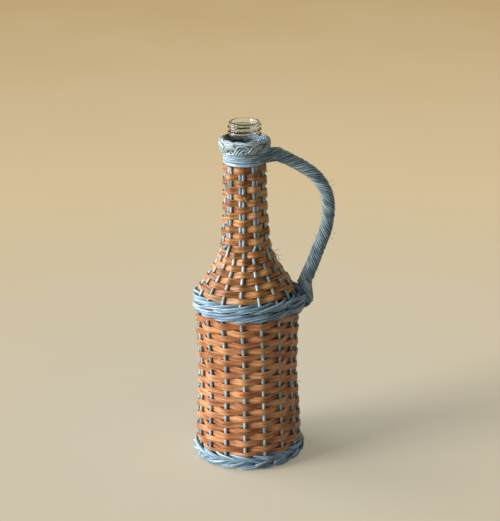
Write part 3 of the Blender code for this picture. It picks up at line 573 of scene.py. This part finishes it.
def make_glass():
    def corner(size, height, angle):
        return CORNER_CENTRE + size * sin(radians(angle)), height - size * cos(radians(angle))

    heights = np.concatenate([np.arange(20, 132, 12.0), np.arange(132, 262, 2.0)]) * MM
    outer = [(PUNT_RADIUS, FOOT_HEIGHT), (FOOT_FLAT_RADIUS, FOOT_HEIGHT)]
    outer += [corner(*OUTER_CORNER, angle) for angle in np.linspace(15, 90, 6)]
    outer += [(GLASS.radius_at(z), z) for z in heights]
    outer += [(r * MM, z * MM) for r, z in BEAD]
    outer += [(FINISH_RADIUS, z * MM) for z in np.arange(267.6, 283.5, 0.25)]
    middle, half = (FINISH_RADIUS + LIP_RADIUS) / 2, (FINISH_RADIUS - LIP_RADIUS) / 2
    for angle in np.linspace(0, pi, 9):
        outer.append((middle + half * cos(angle), LIP_HEIGHT + LIP_RISE * sin(angle)))
    inner = [(LIP_RADIUS - 0.3 * MM, 282.8 * MM), (LIP_RADIUS - 0.5 * MM, 281.5 * MM)]
    inner += [(BORE_RADIUS, z * MM) for z in (279.0, 274.0, 269.0, 264.0)]
    inner += [(max(NECK_BORE_RADIUS, GLASS.radius_at(z) - GLASS_WALL), z) for z in heights[::-1]]
    inner += [corner(*INNER_CORNER, angle) for angle in np.linspace(90, 10, 6)]
    inner.append((PUNT_RADIUS, FOOT_INSIDE_HEIGHT))
    mesh = smooth_mesh("glass_bottle_clear", *turned(outer, inner), glass_material())
    piece = add_object("glass_bottle_clear", mesh)
    piece.visible_shadow = False
    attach(piece, "root")
    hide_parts("glass_bottle")


# Rods


def rod_side(rod):
    """One rod end from the base's fan up under the neck band: places and outward sides."""
    azimuth = nominal(rod) + lean_at(0.0)
    rows = [(azimuth, FAN_RADIUS, ROD_FOOT_HEIGHT)]
    for angle in np.linspace(0, pi / 2, 6):
        rows.append((azimuth, COVER.radius[0] - ROD_BEND * (1 - sin(angle)),
                     ROD_FOOT_HEIGHT + ROD_BEND * (1 - cos(angle))))
    heights = np.concatenate([np.arange(11, 140, 3.0), np.arange(140, 251, 1.5)]) * MM
    sides = [(COVER.radius_at(z), z) for z in heights] + [(r * MM, z * MM) for z, r in ROD_TOPS]
    rows += [(rod_azimuth(rod, *side), *side) for side in sides]
    return [polar(*row) for row in rows], [outward(row[0]) for row in rows]


def make_rods():
    """The cross of rods under the bottle, each rod bent up at its ends, and the odd rod."""
    lower, upper = Weave("rods_under"), Weave("rods_over")

    def through(weave, front, back, middle):
        front_path, front_outs = rod_side(front)
        path, outs = front_path[::-1] + middle, front_outs[::-1] + [front_outs[0]]
        if back is None:
            outs += [front_outs[0]]
        else:
            back_path, back_outs = rod_side(back)
            path += back_path
            outs += [back_outs[0]] + back_outs
        weave.strand(path, [out + ROD_SIDE_TILT for out in outs], 2 * ROD_RADIUS, 2 * ROD_RADIUS, sides=12)

    for place, front, back in ((-2, -2, -7), (-1, -1, -8), (1, 1, 8), (2, 2, 7), (0, 0, None)):
        x = CROSS_SPACING * place
        through(lower, front, back, [np.array([x, side * CROSS_REACH, CROSS_LOW]) for side in (-1, 1)])
    for number in range(4):
        y = CROSS_SPACING * (number - 1.5)
        through(upper, 3 + number, -3 - number,
                [np.array([side * CROSS_REACH, y, CROSS_HIGH]) for side in (1, -1)])
    lower.build(ROD, "rod", "rod_lower_1", "rod_lower_2", "rod_lower_3", "rod_lower_4", "rod_odd")
    upper.build(ROD, "rod", "rod_upper_1", "rod_upper_2", "rod_upper_3", "rod_upper_4")


# Cane

# The base's spiral of cane
BASE_ROWS, BASE_INNER, BASE_OUTER = 4, 17.8 * MM, 35 * MM
BASE_OFFSET, BASE_CUT = 1.9 * MM, 0.3
BASE_WIDTH, BASE_ROOM, BASE_THICKNESS = 4.1 * MM, 0.2 * MM, 0.95 * MM


def cane_stations(bottom, top, rows, start_rod, neck, rng):
    """Each crossing of the cane with a rod or a group: azimuth, length, offset, width, cut, and if it is over."""
    first, last = COVER.arc_at(bottom), COVER.arc_at(top)
    pitch = (last - first) / rows
    start = nominal(start_rod)
    switch = COVER.arc_at(SWITCH_HEIGHT)
    rod, group, over = start_rod + START_SKIP, None, False
    out = []
    while True:
        azimuth = nominal(rod) if group is None else FIRST_GROUP + GROUP_STEP * group
        turns = (azimuth - start) / TAU
        low, high = max(0.0, turns - 1) * pitch, min(turns, rows) * pitch
        if high - low < LAST_ROW_SHARE * pitch and turns > 1:
            break
        level = first + (low + high) / 2
        arc = level + rng.normal(0, 0.13 * MM)
        radius, height, _ = COVER.at(arc)
        wide = CANE_WIDTH * min(1.0, (high - low) / pitch) * (1 + rng.normal(0, 0.035))
        if group is None:
            spots = [(rod_azimuth(rod, radius, height), OVER_ROD if over else UNDER_ROD)]
        else:
            members = GROUPS[group % len(GROUPS)]
            turn = group // len(GROUPS) * ROD_COUNT
            edges = [rod_azimuth(member + turn, radius, height) for member in (members[0], members[-1])]
            middle = sum(edges) / 2
            half = EDGE_ROOM / radius
            spots = [(middle, UNDER_GROUP)]
            if over:
                spots = [(edges[0] - half, OVER_EDGE), (middle, OVER_MIDDLE), (edges[1] + half, OVER_EDGE)]
        for azimuth, (offset, cut) in spots:
            out.append((azimuth, arc, (offset + rng.normal(0, 0.07)) * MM, wide, cut, over))
        over = not over
        if group is None:
            index, place, size = group_of(rod)
            if neck and level > switch and place == size - 1:
                group = index + 1
            rod += 1
        else:
            group += 1
    return out


def make_cane():
    rng = np.random.default_rng(17)
    body_nodes = [f"body_cane_{i}" for i in range(1, 6)]
    upper_nodes = ["shoulder_cane", "neck_cane_1", "neck_cane_2"]
    for name, material, span, nodes in (("cane_body", CANE, BODY_SPAN, body_nodes),
                                        ("cane_upper", CANE_UPPER_SHADED, UPPER_SPAN, upper_nodes)):
        weave, rows = Weave(name), []
        for azimuth, arc, offset, width, cut, over in cane_stations(*span, rng):
            radius, height, lean = COVER.at(arc)
            place = polar(azimuth, radius + offset * cos(lean), height + offset * sin(lean))
            side = outward(azimuth, lean + rng.normal(0, 0.05))
            rows.append((place, side, cut, (width * (1.0 if over else 1.1), CANE_THICKNESS)))
        weave.woven(rows, 6, sides=28, square=0.6, ribs=3)
        weave.build(material, "cane", *nodes)


def make_base():
    """The flat spiral of cane under the bottle."""
    weave, rows = Weave("cane_base"), []
    pitch = (BASE_OUTER - BASE_INNER) / BASE_ROWS
    for step in range(START_SKIP, (BASE_ROWS + 1) * ROD_COUNT - START_SKIP):
        turns = step / ROD_COUNT
        low, high = max(0.0, turns - 1) * pitch, min(turns, BASE_ROWS) * pitch
        offset = BASE_OFFSET if step % 2 else -BASE_OFFSET
        place = polar(nominal(step), BASE_INNER + (low + high) / 2, ROD_FOOT_HEIGHT + offset)
        rows.append((place, UP, BASE_CUT, (min(BASE_WIDTH, high - low - BASE_ROOM), BASE_THICKNESS)))
    weave.woven(rows, 4, square=0.8)
    weave.build(CANE, "cane", "base_cane")


# Wales

WALE_FIBRES = 2
WALE_CUT = 0.42

# Width, thickness, and how far it stands before and behind the line of rods
SHOULDER_WALE = (3.5 * MM, 2.5 * MM, 3.2 * MM, 2.9 * MM)
SHOULDER_LEVELS = [(130.6 + 3.6 * i) * MM for i in range(4)]
LOWER_FOOT_WALE = (3.1 * MM, 2.4 * MM)
UPPER_FOOT_WALE = (3.3 * MM, 2.4 * MM, 3 * MM, 2.7 * MM)
FOOT_END_AZIMUTH = radians(9)

# A strand's end in the foot: degrees on, radius and rise in mm, then the cut end's widths and thicknesses
FOOT_END = ((16, 43.6, 2.9), (12, 45.2, 2.4), (6.5, 45.9, 1.2), (1.4, 46, 0.1), (0, 45.8, -0.2))
FOOT_END_WIDTHS = np.array([2.7, 2.6, 2.4, 1.7]) * MM
FOOT_END_THICKS = np.array([2.1, 2.0, 1.9, 1.3]) * MM


def wale(weave, rows, fronts, backs, width, thick, rng, dive=None):
    """Three strands that go over two rods and behind one, as closed rounds of fibres side by side."""
    passes = [[(-2, fronts[0], rows[0])], [(2, fronts[1], rows[1])], [(-3, *backs[0]), (3, *backs[1])]]
    if dive:
        passes[2].append((8, *dive))
    loop = []
    for event in range(3 * ROD_COUNT):
        azimuth = nominal(event) + lean_at(rows[0])
        loop += [(azimuth + radians(turn), radius, height) for turn, radius, height in passes[event % 3]]
    points = [polar(a, r + rng.normal(0, 0.12 * MM), z + rng.normal(0, 0.15 * MM)) for a, r, z in loop]
    outs = [outward(a, rng.normal(0, 0.1)) for a, _, _ in loop]
    sizes = rng.normal(size=len(loop))  # Left unused, but it keeps the later draws in place
    path, outs, _ = rounded(points, outs, [WALE_CUT] * len(loop), sizes, 5, closed=True)
    outs, across = directions(path, outs, closed=True)
    each = width / WALE_FIBRES
    for fibre in range(WALE_FIBRES):
        offset = (fibre - (WALE_FIBRES - 1) / 2) * each
        lift = rng.normal(0, 0.07) * thick
        weave.strand(path + across * offset + outs * lift, outs, each * rng.uniform(1.02, 1.22),
                     thick * rng.uniform(0.9, 1.08), sides=8, closed=True)


def wale_nodes(place):
    return [f"{place}_wale_{row}_{i}" for row in ("lower", "upper") for i in (1, 2, 3)]


def make_wales():
    rng = np.random.default_rng(5)
    shoulder = Weave("wale_shoulder")
    width, thick, before, behind = SHOULDER_WALE
    for low, high in (SHOULDER_LEVELS[:2], SHOULDER_LEVELS[2:]):
        front = max(COVER.radius_at(z) for z in (low, high)) + before
        backs = [(COVER.radius_at(z) - behind, z) for z in (high, low)]
        wale(shoulder, (low, high), (front, front), backs, width, thick, rng)
    shoulder.build(STRAND, "strand", *wale_nodes("shoulder"))

    foot, ends = Weave("wale_foot"), Weave("foot_cut_ends")
    width, thick, before, behind = UPPER_FOOT_WALE
    front, back = COVER.radius[0] + before, COVER.radius[0] - behind
    tuck, dive = (36.8 * MM, 6.6 * MM), (39.2 * MM, 1.9 * MM)
    wale(foot, (1.8 * MM, 5.6 * MM), (front - 0.6 * MM, front), (tuck, tuck), *LOWER_FOOT_WALE, rng, dive)
    low, high = 6.9 * MM, 11 * MM
    wale(foot, (high, low), (front, front), ((back, low), (back, high)), width, thick, rng)
    for rod in range(ROD_COUNT):
        azimuth = nominal(rod) + lean_at(0.0) + FOOT_END_AZIMUTH + rng.normal(0, 0.02)
        level = (5.2 + rng.normal(0, 0.2)) * MM
        path = curve_through([polar(azimuth + radians(a), r * MM, level + z * MM) for a, r, z in FOOT_END], 4)
        outs = [outward(azimuth)] * len(path)
        foot.strand(path[:-3], outs[:-3], FOOT_END_WIDTHS[0], FOOT_END_THICKS[0], sides=12)
        ends.strand(path[-4:], outs[-4:], FOOT_END_WIDTHS, FOOT_END_THICKS, sides=12)
    foot.build(STRAND, "strand", *wale_nodes("foot"))
    ends.build(CUT_END, "strand")


# Handle's line: x and height in mm

HANDLE_ROUTE = (
    (17.6, 257), (22, 257.1), (28.4, 255.7), (35.6, 252.3), (45.7, 246.8), (54, 240.7), (61.3, 232.2),
    (65.6, 223.1), (66.8, 213.7), (66.5, 204.1), (64.6, 193.6), (60.3, 181.5), (55.4, 168.4), (50.8, 157),
    (48.4, 150), (48.1, 143), (48.6, 137), (48.8, 132),
)
HANDLE_RADIUS = 5.1 * MM


def handle_line(count):
    """Evenly spaced places along the handle, and their lengths."""
    fine = curve_through([(x * MM, 0.0, z * MM) for x, z in HANDLE_ROUTE], 12)
    lengths = np.concatenate([[0.0], np.cumsum(np.linalg.norm(np.diff(fine, axis=0), axis=1))])
    marks = np.linspace(0.0, lengths[-1], count)
    return np.stack([np.interp(marks, lengths, fine[:, i]) for i in range(3)], axis=1), marks


def handle_place(x):
    """A place on the upper part of the handle's line."""
    route = np.array(HANDLE_ROUTE[:5]) * MM
    return np.array([x, 0.0, np.interp(x, route[:, 0], route[:, 1])])


# Band and collar

# A band's end for the handle: degrees, radius and rise in mm on the band, then x, climb in degrees and lift in mm
TAIL_ON_BAND = ((26, 15.4, 0), (38, 16.9, 0.1), (52, 18.2, 0.6))
TAIL_ON_HANDLE = ((19.5, 0, 0.8), (24, 28, 0.7), (28.5, 64, 0.3), (33, 104, -1.2))
TAIL_START, TAIL_STEP = -58, 25
TAIL_HEIGHTS, TAIL_WIDTH, TAIL_THICKNESS = (252.6, 254.4, 256.2, 258.0, 259.8), 2.3 * MM, 2 * MM

# The band's round strand, and its flat strands, which rise a little before they leave for the handle
BAND_RADIUS = 16.3 * MM
BAND_HEIGHTS, BAND_RISE = (254.7, 256.4, 258.1, 259.6), 0.9 * MM

# Each fibre of an arch: its reach, and rows of run along the rim, height and drop inwards in mm
COLLAR_ARCH = (
    (20.2, ((-2.4, 262.2, 2.4), (-0.7, 262.3, 1), (0.9, 264.6, 0.1), (3, 267.5, 0), (6.2, 269, 0.1),
            (9.2, 268.2, 0.4), (11.7, 266.2, 1.1), (13, 264.5, 2.5))),
    (20.3, ((-0.6, 262, 2.6), (1.2, 262.2, 1.1), (2.8, 264.3, 0.1), (4.6, 266.4, 0), (6.9, 267.4, 0.1),
            (9.1, 266.8, 0.4), (10.6, 265.2, 1.1), (11.6, 263.6, 2.4))),
    (20.1, ((1.4, 261.8, 2.6), (3, 262.1, 1.1), (4.3, 263.6, 0.1), (5.7, 265, 0), (7.3, 265.7, 0.1),
            (8.8, 265.1, 0.4), (9.7, 263.8, 1.1), (10.2, 262.6, 2.4))),
)
ARCHES, ARCH_RADIUS, ARCH_STRETCH = 10, 19.2 * MM, 1.1
ARCH_FOOT, ARCH_RISE = 262.0, 7

# The cut ends in an arch: run and height in mm, then their widths and thicknesses
ARCH_ENDS = ((5.4, 263.2), (8.1, 262.4))
ARCH_END_WIDTHS = np.array([1.8, 1.8, 1.7, 1.1]) * MM
ARCH_END_THICKS = np.array([1.6, 1.6, 1.5, 0.9]) * MM

# The fibres along the rim: height, radius and thickness in mm, and the navy shade ring's: height and radius
COLLAR_RIM = ((261.3, 18.2, 1.9), (262.7, 18.5, 1.8), (264.6, 17.4, 2.8), (267, 17.6, 2.8), (269.3, 19.1, 1.7),
              (270.1, 18.2, 1.8), (270.5, 17.1, 1.8))
COLLAR_SHADE_RING = ((261.2, 15.4), (263.2, 15.7), (265.2, 15.8), (267.2, 15.8), (269, 15.7))
COLLAR_RING = np.linspace(0, TAU, 132, endpoint=False)
RIM_BEND = 0.35 * MM


def make_band():
    """One round strand, and a flat band of strands with slate ends that leave it at the right for the handle."""
    weave, tails = Weave("band_neck"), Weave("band_tails")
    ring = np.linspace(0, TAU, 96, endpoint=False)
    weave.hoop(ring, BAND_RADIUS, [252.2 * MM] * len(ring), 2.9 * MM, 2.5 * MM, sides=12, square=0.95, closed=True)
    angles = [radians(degrees) for degrees in range(-255, 62, 4)]
    rise = np.array([BAND_RISE * ease((angle - radians(20)) / radians(40)) for angle in angles])
    for height in BAND_HEIGHTS:
        weave.hoop(angles, BAND_RADIUS + 0.1 * MM, height * MM + rise, 1.95 * MM, 1.9 * MM, square=0.9)
    for number, height in enumerate(TAIL_HEIGHTS):
        knots = [polar(radians(a), r * MM, (height + z) * MM) for a, r, z in TAIL_ON_BAND]
        outs = [outward(radians(a)) for a, _, _ in TAIL_ON_BAND]
        start = radians(TAIL_START + TAIL_STEP * number)
        for x, climb, lift in TAIL_ON_HANDLE:
            angle = start + radians(climb)
            away = np.array([0.0, -cos(angle), sin(angle)])
            knots.append(handle_place(x * MM) + away * (HANDLE_RADIUS + lift * MM))
            outs.append(away)
        tails.strand(curve_through(knots, 6), curve_through(outs, 6), TAIL_WIDTH, TAIL_THICKNESS, sides=12)
    weave.build(BAND, "strand", "neck_band")
    tails.build(HANDLE, "handle")


def make_collar():
    """A plaited border: nested arches of fibres with cut ends in them, and fibres along the rim."""
    weave, ends = Weave("collar_plait"), Weave("collar_cut_ends")
    rng = np.random.default_rng(3)
    for arch in range(ARCHES):
        start = radians(-26) + TAU * arch / ARCHES + rng.normal(0, 0.02)
        tilt = rng.normal(0.6, 0.5)
        for reach, rows in COLLAR_ARCH:
            knots, outs = [], []
            for run, height, drop in rows:
                run = ARCH_STRETCH * run + tilt * (height - ARCH_FOOT) / ARCH_RISE
                azimuth = start + run * MM / ARCH_RADIUS
                knots.append(polar(azimuth, (reach - drop + rng.normal(0, 0.08)) * MM,
                                   (height + rng.normal(0, 0.12)) * MM))
                outs.append(outward(azimuth))
            weave.strand(curve_through(knots, 5), curve_through(outs, 5),
                         1.65 * MM * rng.uniform(0.94, 1.12), 1.6 * MM * rng.uniform(0.9, 1.1))
        for run, level in ARCH_ENDS:
            azimuth = start + (run + rng.normal(0, 0.3)) * MM / ARCH_RADIUS
            level = (level + rng.normal(0, 0.25)) * MM
            places = [polar(azimuth + 0.03 * s, (17.4 + 3.2 * s) * MM, level + 0.4 * s * MM)
                      for s in (0.0, 0.5, 0.9, 1.0)]
            ends.strand(places, [UP] * 4, ARCH_END_WIDTHS, ARCH_END_THICKS)
    for number, (height, radius, thick) in enumerate(COLLAR_RIM):
        bend = RIM_BEND * np.sin(ARCHES * COLLAR_RING + 1.7 * number)
        bend = bend + 0.12 * MM * sway(rng, len(COLLAR_RING), 5) * (1 - COLLAR_RING / TAU)
        weave.hoop(COLLAR_RING, radius * MM, height * MM + bend, thick * MM, thick * MM, closed=True)
    weave.build(COLLAR, "strand", "collar_strand_1", "collar_strand_2", "collar_strand_3")
    ends.build(CUT_END, "strand")


def make_collar_shade_ring():
    """Navy strands between the glass and the plait: painted shade for the dark inside of the collar."""
    shade_ring = Weave("collar_shade_ring")
    for height, radius in COLLAR_SHADE_RING:
        bend = RIM_BEND * np.sin(9 * COLLAR_RING + height)
        shade_ring.hoop(COLLAR_RING, radius * MM, height * MM + bend, 2.4 * MM, 1.8 * MM, sides=8, closed=True)
    shade_ring.build(NAVY_SHADE, "strand")


# Handle

HANDLE_CORE = 7.8 * MM
HANDLE_GIRTH = TAU * 4.3 * MM
HANDLE_LEAD = 27 * MM
HANDLE_STRANDS = 11
ROOT_SWELL, ROOT_LENGTH = 0.12, 26 * MM
FOOT_SWELL, FOOT_LENGTH = 0.14, 62 * MM

# The uppermost and the lowest strand tied over the handle's foot, and the ends laid into the wale, in mm
TIE_TOP = ((47.4, 3, 153.5), (45.7, -2, 153.1), (48.5, -6.6, 151), (51.1, -7, 146.2), (52.9, -5.4, 140.8),
           (53.5, -2.6, 135.4), (51.4, 0.6, 130), (47, 2.6, 128))
TIE_LOW = ((44.1, 3, 150), (42.3, -0.5, 149.4), (45.3, -5.2, 146.5), (48.6, -7, 142.4), (51.1, -6.2, 137.8),
           (52.1, -3.8, 132.8), (49, -1.2, 128.2), (45, 1, 126.6))
TIE_CENTRE = np.array([0.0477, 0.0, 0.0])
LAID_ENDS = (
    ((30.4, -29.2, 141), (36, -28.2, 142.2), (42.6, -18.5, 141.8), (46.2, -13, 141.2), (48.4, -9, 140.8)),
    ((32.2, -27.4, 137.8), (37.9, -26.2, 137.9), (43.5, -18, 138), (46.4, -12.5, 138.2), (48.4, -8.6, 138.3)),
    ((34.2, -24.8, 132.8), (39.7, -23.4, 133), (44.2, -16, 133.6), (46.6, -11, 134.2), (47.9, -8, 134.8)),
    ((34.2, -24.8, 131.6), (39.7, -23.2, 130.9), (43.6, -17, 130.9), (45.6, -12, 131.4), (46.6, -9, 131.9)),
)

# Navy strands under the ties, painted shade in the gap behind them: the first one's places in mm, and the step to
# the next
TUCKED = np.array([(38.6, 1, 147.6), (40.6, -2.2, 145), (43.4, -3.4, 139.5), (45.4, -2.8, 133),
                   (45, -1, 127.8)])
TUCKED_STEP = np.array([(1.6, 0, -0.6), (1.5, 0, -0.6), (1.2, 0, 0), (0.9, 0, 0), (0.8, 0, 0)])


def make_handle():
    """A core with strands laid round it like a rope, thicker towards both ends."""
    points, marks = handle_line(300)
    along = unit(np.gradient(points, axis=0))
    front = np.tile(FRONT, (len(points), 1))
    outer = np.cross(front, along)
    core = Weave("handle_core_rope")
    core.strand(points, front, HANDLE_CORE, HANDLE_CORE, sides=12)
    core.build(HANDLE, "handle", "handle_core")
    wrap = Weave("handle_wrap")
    rng = np.random.default_rng(9)
    width = HANDLE_GIRTH * cos(atan(HANDLE_GIRTH / HANDLE_LEAD)) / HANDLE_STRANDS
    swell = np.array([1 + ROOT_SWELL * ease(1 - mark / ROOT_LENGTH)
                      + FOOT_SWELL * ease(1 - (marks[-1] - mark) / FOOT_LENGTH) for mark in marks])
    for strand in range(HANDLE_STRANDS):
        turn = TAU * strand / HANDLE_STRANDS + TAU * marks / HANDLE_LEAD
        reach = (4.15 + rng.normal(0, 0.2)) * MM + 0.2 * MM * sway(rng, len(marks), 16)
        away = front * np.cos(turn)[:, None] + outer * np.sin(turn)[:, None]
        wrap.strand(points + away * (reach * swell)[:, None], away,
                    width * swell * rng.uniform(0.88, 1.04), 2.2 * MM, sides=12)
    wrap.build(HANDLE, "handle", *[f"handle_strand_{i}" for i in range(1, 6)])


def make_foot_ties():
    """Strands crossed over the handle's foot and tucked under the wale, lighter ends laid into the wale, and navy
    strands as painted shade behind the ties and under the laid ends.
    """
    dark, light, navy = Weave("handle_foot"), Weave("handle_tuck"), Weave("handle_tuck_shade")
    top, low, level = np.array(TIE_TOP), np.array(TIE_LOW), np.array([1.0, 1.0, 0.0])
    for side in (1, -1):
        mirror = np.array([1.0, side, 1.0])
        for share in (0.0, 0.34, 0.68, 1.0):
            path = curve_through((top + (low - top) * share) * MM, 7) * mirror
            dark.strand(path, (path - TIE_CENTRE) * level, 2 * MM, 1.9 * MM, sides=12)
        for number in range(4):
            # Navy strands behind the ties: painted shade.
            path = curve_through((TUCKED + TUCKED_STEP * number) * MM, 6) * mirror
            navy.strand(path, [(0.4, -side, 0.2)] * len(path), 2.3 * MM, 1.9 * MM, sides=12)
        for knots in LAID_ENDS if side > 0 else LAID_ENDS[1:]:
            path = curve_through(np.array(knots) * MM, 7) * mirror
            thin = np.interp(np.linspace(0, 1, len(path)), (0.0, 0.7, 1.0), (1.0, 1.0, 0.5)) * MM
            light.strand(path, path * level, 1.6 * thin, 1.6 * thin)
            # A navy strand just under each laid end: painted shade in the gap beneath it.
            below = path * np.array([0.99, 0.99, 1.0]) - 1.9 * MM * UP
            navy.strand(below, below * level, 1.8 * MM, 1.4 * MM, sides=8)
    dark.build(HANDLE, "handle")
    light.build(STRAND, "strand")
    navy.build(NAVY_SHADE, "strand")


# Loose fibres that the photo shows, and how many more

# Straw: places as degrees, height and distance off the cover in mm, and the width in mm
STRAW_HAIRS = (
    (((-4, 227, 2.9), (3, 223, 3.6), (11, 218.5, 3.8), (18, 213, 3.2)), 0.55),
    (((82, 176, 2.4), (80, 172.6, 4.6), (74, 168.6, 4.4), (70, 164.8, 2.6)), 0.5),
)
# Cane: degrees, height, turn in degrees, lift and length in mm
CANE_HAIRS = ((84, 177.2, 8, -0.6, 6.5), (86, 172.8, 6, -1.2, 6), (80, 175.4, 10, 1, 4),
              (88, 169, 8, -2, 4.5), (-70, 176, -10, 2, 4), (80, 243, 8, 1, 3))
MORE_CANE_HAIRS = 70
# Handle: x, height, and how far it goes right and up, in mm
HANDLE_HAIRS = ((69.6, 231, 3.4, 1), (68.2, 233.6, 2.6, 2.6), (71.6, 190, 1.6, 1.2),
                (56.4, 188.5, -2.4, 1.4), (69.4, 186, 2, -1.6), (58, 165, 2.2, 0.6))
MORE_HANDLE_HAIRS = 60


def make_loose_fibres():
    """Thin ends of fibre that stand off the cane and off the handle."""
    rng = np.random.default_rng(21)
    cane, straw, slate = Weave("loose_cane_fibres"), Weave("loose_straw_fibres"), Weave("loose_handle_fibres")

    def hair(weave, places, width):
        path = curve_through(places, 4)
        x, y, _ = path.mean(axis=0)
        thin = np.linspace(1.0, 0.35, len(path))
        weave.strand(path, [(x, y, 0.3 * abs(x))] * len(path), width * thin, width * thin, sides=5)

    def off_cover(degrees, height, out):
        return polar(radians(degrees), COVER.radius_at(height * MM) + out * MM, height * MM)

    def cane_hair(degrees, height, turn, lift, length, out, shares, width):
        hair(cane, [off_cover(degrees + turn * s, height + lift * s, out + length * s * s) for s in shares], width)

    for places, width in STRAW_HAIRS:
        hair(straw, [off_cover(*place) for place in places], width * MM)
    for row in CANE_HAIRS:
        cane_hair(*row, 2.0, (0.0, 0.4, 0.75, 1.0), 0.36 * MM)
    for _ in range(MORE_CANE_HAIRS):
        cane_hair(rng.uniform(-180, 180), rng.uniform(14, 246), rng.normal(0, 9), rng.normal(0, 1.4),
                  rng.uniform(0.4, 2.2), 2.7, (0.0, 0.5, 1.0), 0.26 * MM)
    points, _ = handle_line(200)
    for _ in range(MORE_HANDLE_HAIRS):
        index = int(rng.integers(12, 180))
        angle = rng.uniform(0, TAU)
        along = unit(points[index + 1] - points[index])
        away = FRONT * cos(angle) + np.cross(FRONT, along) * sin(angle)
        swing = np.cross(along, away) * rng.uniform(0.4, 1.4) + along * rng.normal(0, 0.6)
        length = rng.uniform(0.8, 2.6) * MM
        start = points[index] + away * (HANDLE_RADIUS - 0.3 * MM)
        places = [start, start + (away * 0.35 + swing * 0.5) * length, start + (away + swing) * length]
        hair(slate, places, 0.3 * MM)
    for x, z, right, up in HANDLE_HAIRS:
        root = x - 0.6 * right / abs(right)
        knots = [((root + right * s) * MM, -2 * MM * (1 - s), (z + up * s * s) * MM) for s in (0.0, 0.5, 1.0)]
        hair(slate, knots, 0.42 * MM)
    cane.build(CANE, "cane")
    straw.build(STRAW, "cane")
    slate.build(HANDLE, "handle")


# Stage


def seen_directly(add):
    """One where the eye sees a thing directly, in a reflection or through glass."""
    ray = add("LightPath")
    through = math_node(add, "MAXIMUM", ray.outputs["Is Glossy Ray"], ray.outputs["Is Transmission Ray"])
    return math_node(add, "MAXIMUM", ray.outputs["Is Camera Ray"], through)


def floor_material():
    """A pale floor that passes into the backdrop, and is open from below."""
    material, shader, add = new_material("pale_floor")
    seen = seen_directly(add)
    place = add("TexCoord").outputs["Object"]
    mottle = add("TexNoise", Vector=place, Scale=3.0, Detail=3.0).outputs[0]
    away = add("VectorMath", {"operation": "LENGTH"}, i0=place).outputs["Value"]
    away = add("MapRange", Value=away, From_Min=0.1, From_Max=2.1).outputs[0]
    pale = ramp(add, away, ((0.0, FLOOR_NEAR), (0.35, FLOOR_BEYOND), (1.0, BACKDROP)))
    pale = mix(add, times(add, mottle, 0.2), pale, FLOOR_MOTTLE)
    join(shader, Base_Color=mix(add, seen, FLOOR_BOUNCE, pale), Roughness=0.9, Specular_IOR_Level=0.1,
         Emission_Color=mix(add, seen, (0.0, 0.0, 0.0), pale), Emission_Strength=FLOOR_GLOW)
    open_below = add("MixShader", Fac=add("NewGeometry").outputs["Backfacing"], i1=shader.outputs[0])
    join(open_below, i2=add("BsdfTransparent").outputs[0])
    join(material.node_tree.nodes["Material Output"], Surface=open_below.outputs[0])
    return material


def make_stage():
    half = FLOOR_HALF_WIDTH
    verts = [(-half, -half, 0), (half, -half, 0), (half, half, 0), (-half, half, 0)]
    floor = add_object("floor", smooth_mesh("floor", verts, [(0, 1, 2, 3)], floor_material()))

    world = bpy.data.worlds.new("soft_room")
    bpy.context.scene.world = world
    world.use_nodes = True
    add = nodes_of(world.node_tree)
    room = tuple(value * ROOM_STRENGTH for value in ROOM_COLOUR)
    behind = tuple(BACKDROP_GLOW * value for value in BACKDROP)
    join(world.node_tree.nodes["Background"], Color=mix(add, seen_directly(add), room, behind))

    for name, window in (("window", WINDOW), ("side_window", SIDE_WINDOW)):
        azimuth, elevation, strength, softness, colour = window
        data = bpy.data.lights.new(name, "SUN")
        data.energy, data.angle, data.color = strength, radians(softness), colour
        lamp = add_object(name, data)
        rise = radians(elevation)
        towards = polar(radians(azimuth), cos(rise), sin(rise))
        lamp.location = tuple(towards)
        lamp.rotation_euler = Vector(-towards).to_track_quat("-Z", "Y").to_euler()


def make_camera():
    data = bpy.data.cameras.new("camera")
    data.sensor_width = SENSOR_WIDTH
    data.lens = FOCAL_PIXELS / LONG_SIDE_PIXELS * SENSOR_WIDTH
    data.clip_start = 0.05
    camera = add_object("camera", data)
    turn = Matrix.Rotation(pi / 2 - CAMERA_PITCH, 4, "X") @ Matrix.Rotation(-CAMERA_ROLL, 4, "Z")
    camera.matrix_world = Matrix.Translation(CAMERA_PLACE) @ turn
    bpy.context.scene.camera = camera
    bpy.context.scene.view_settings.view_transform = "Standard"


make_stage()
make_camera()
make_glass()
make_rods()
make_cane()
make_base()
make_wales()
make_band()
make_collar()
make_collar_shade_ring()
make_handle()
make_foot_ties()
make_loose_fibres()

bpy.context.view_layer.update()
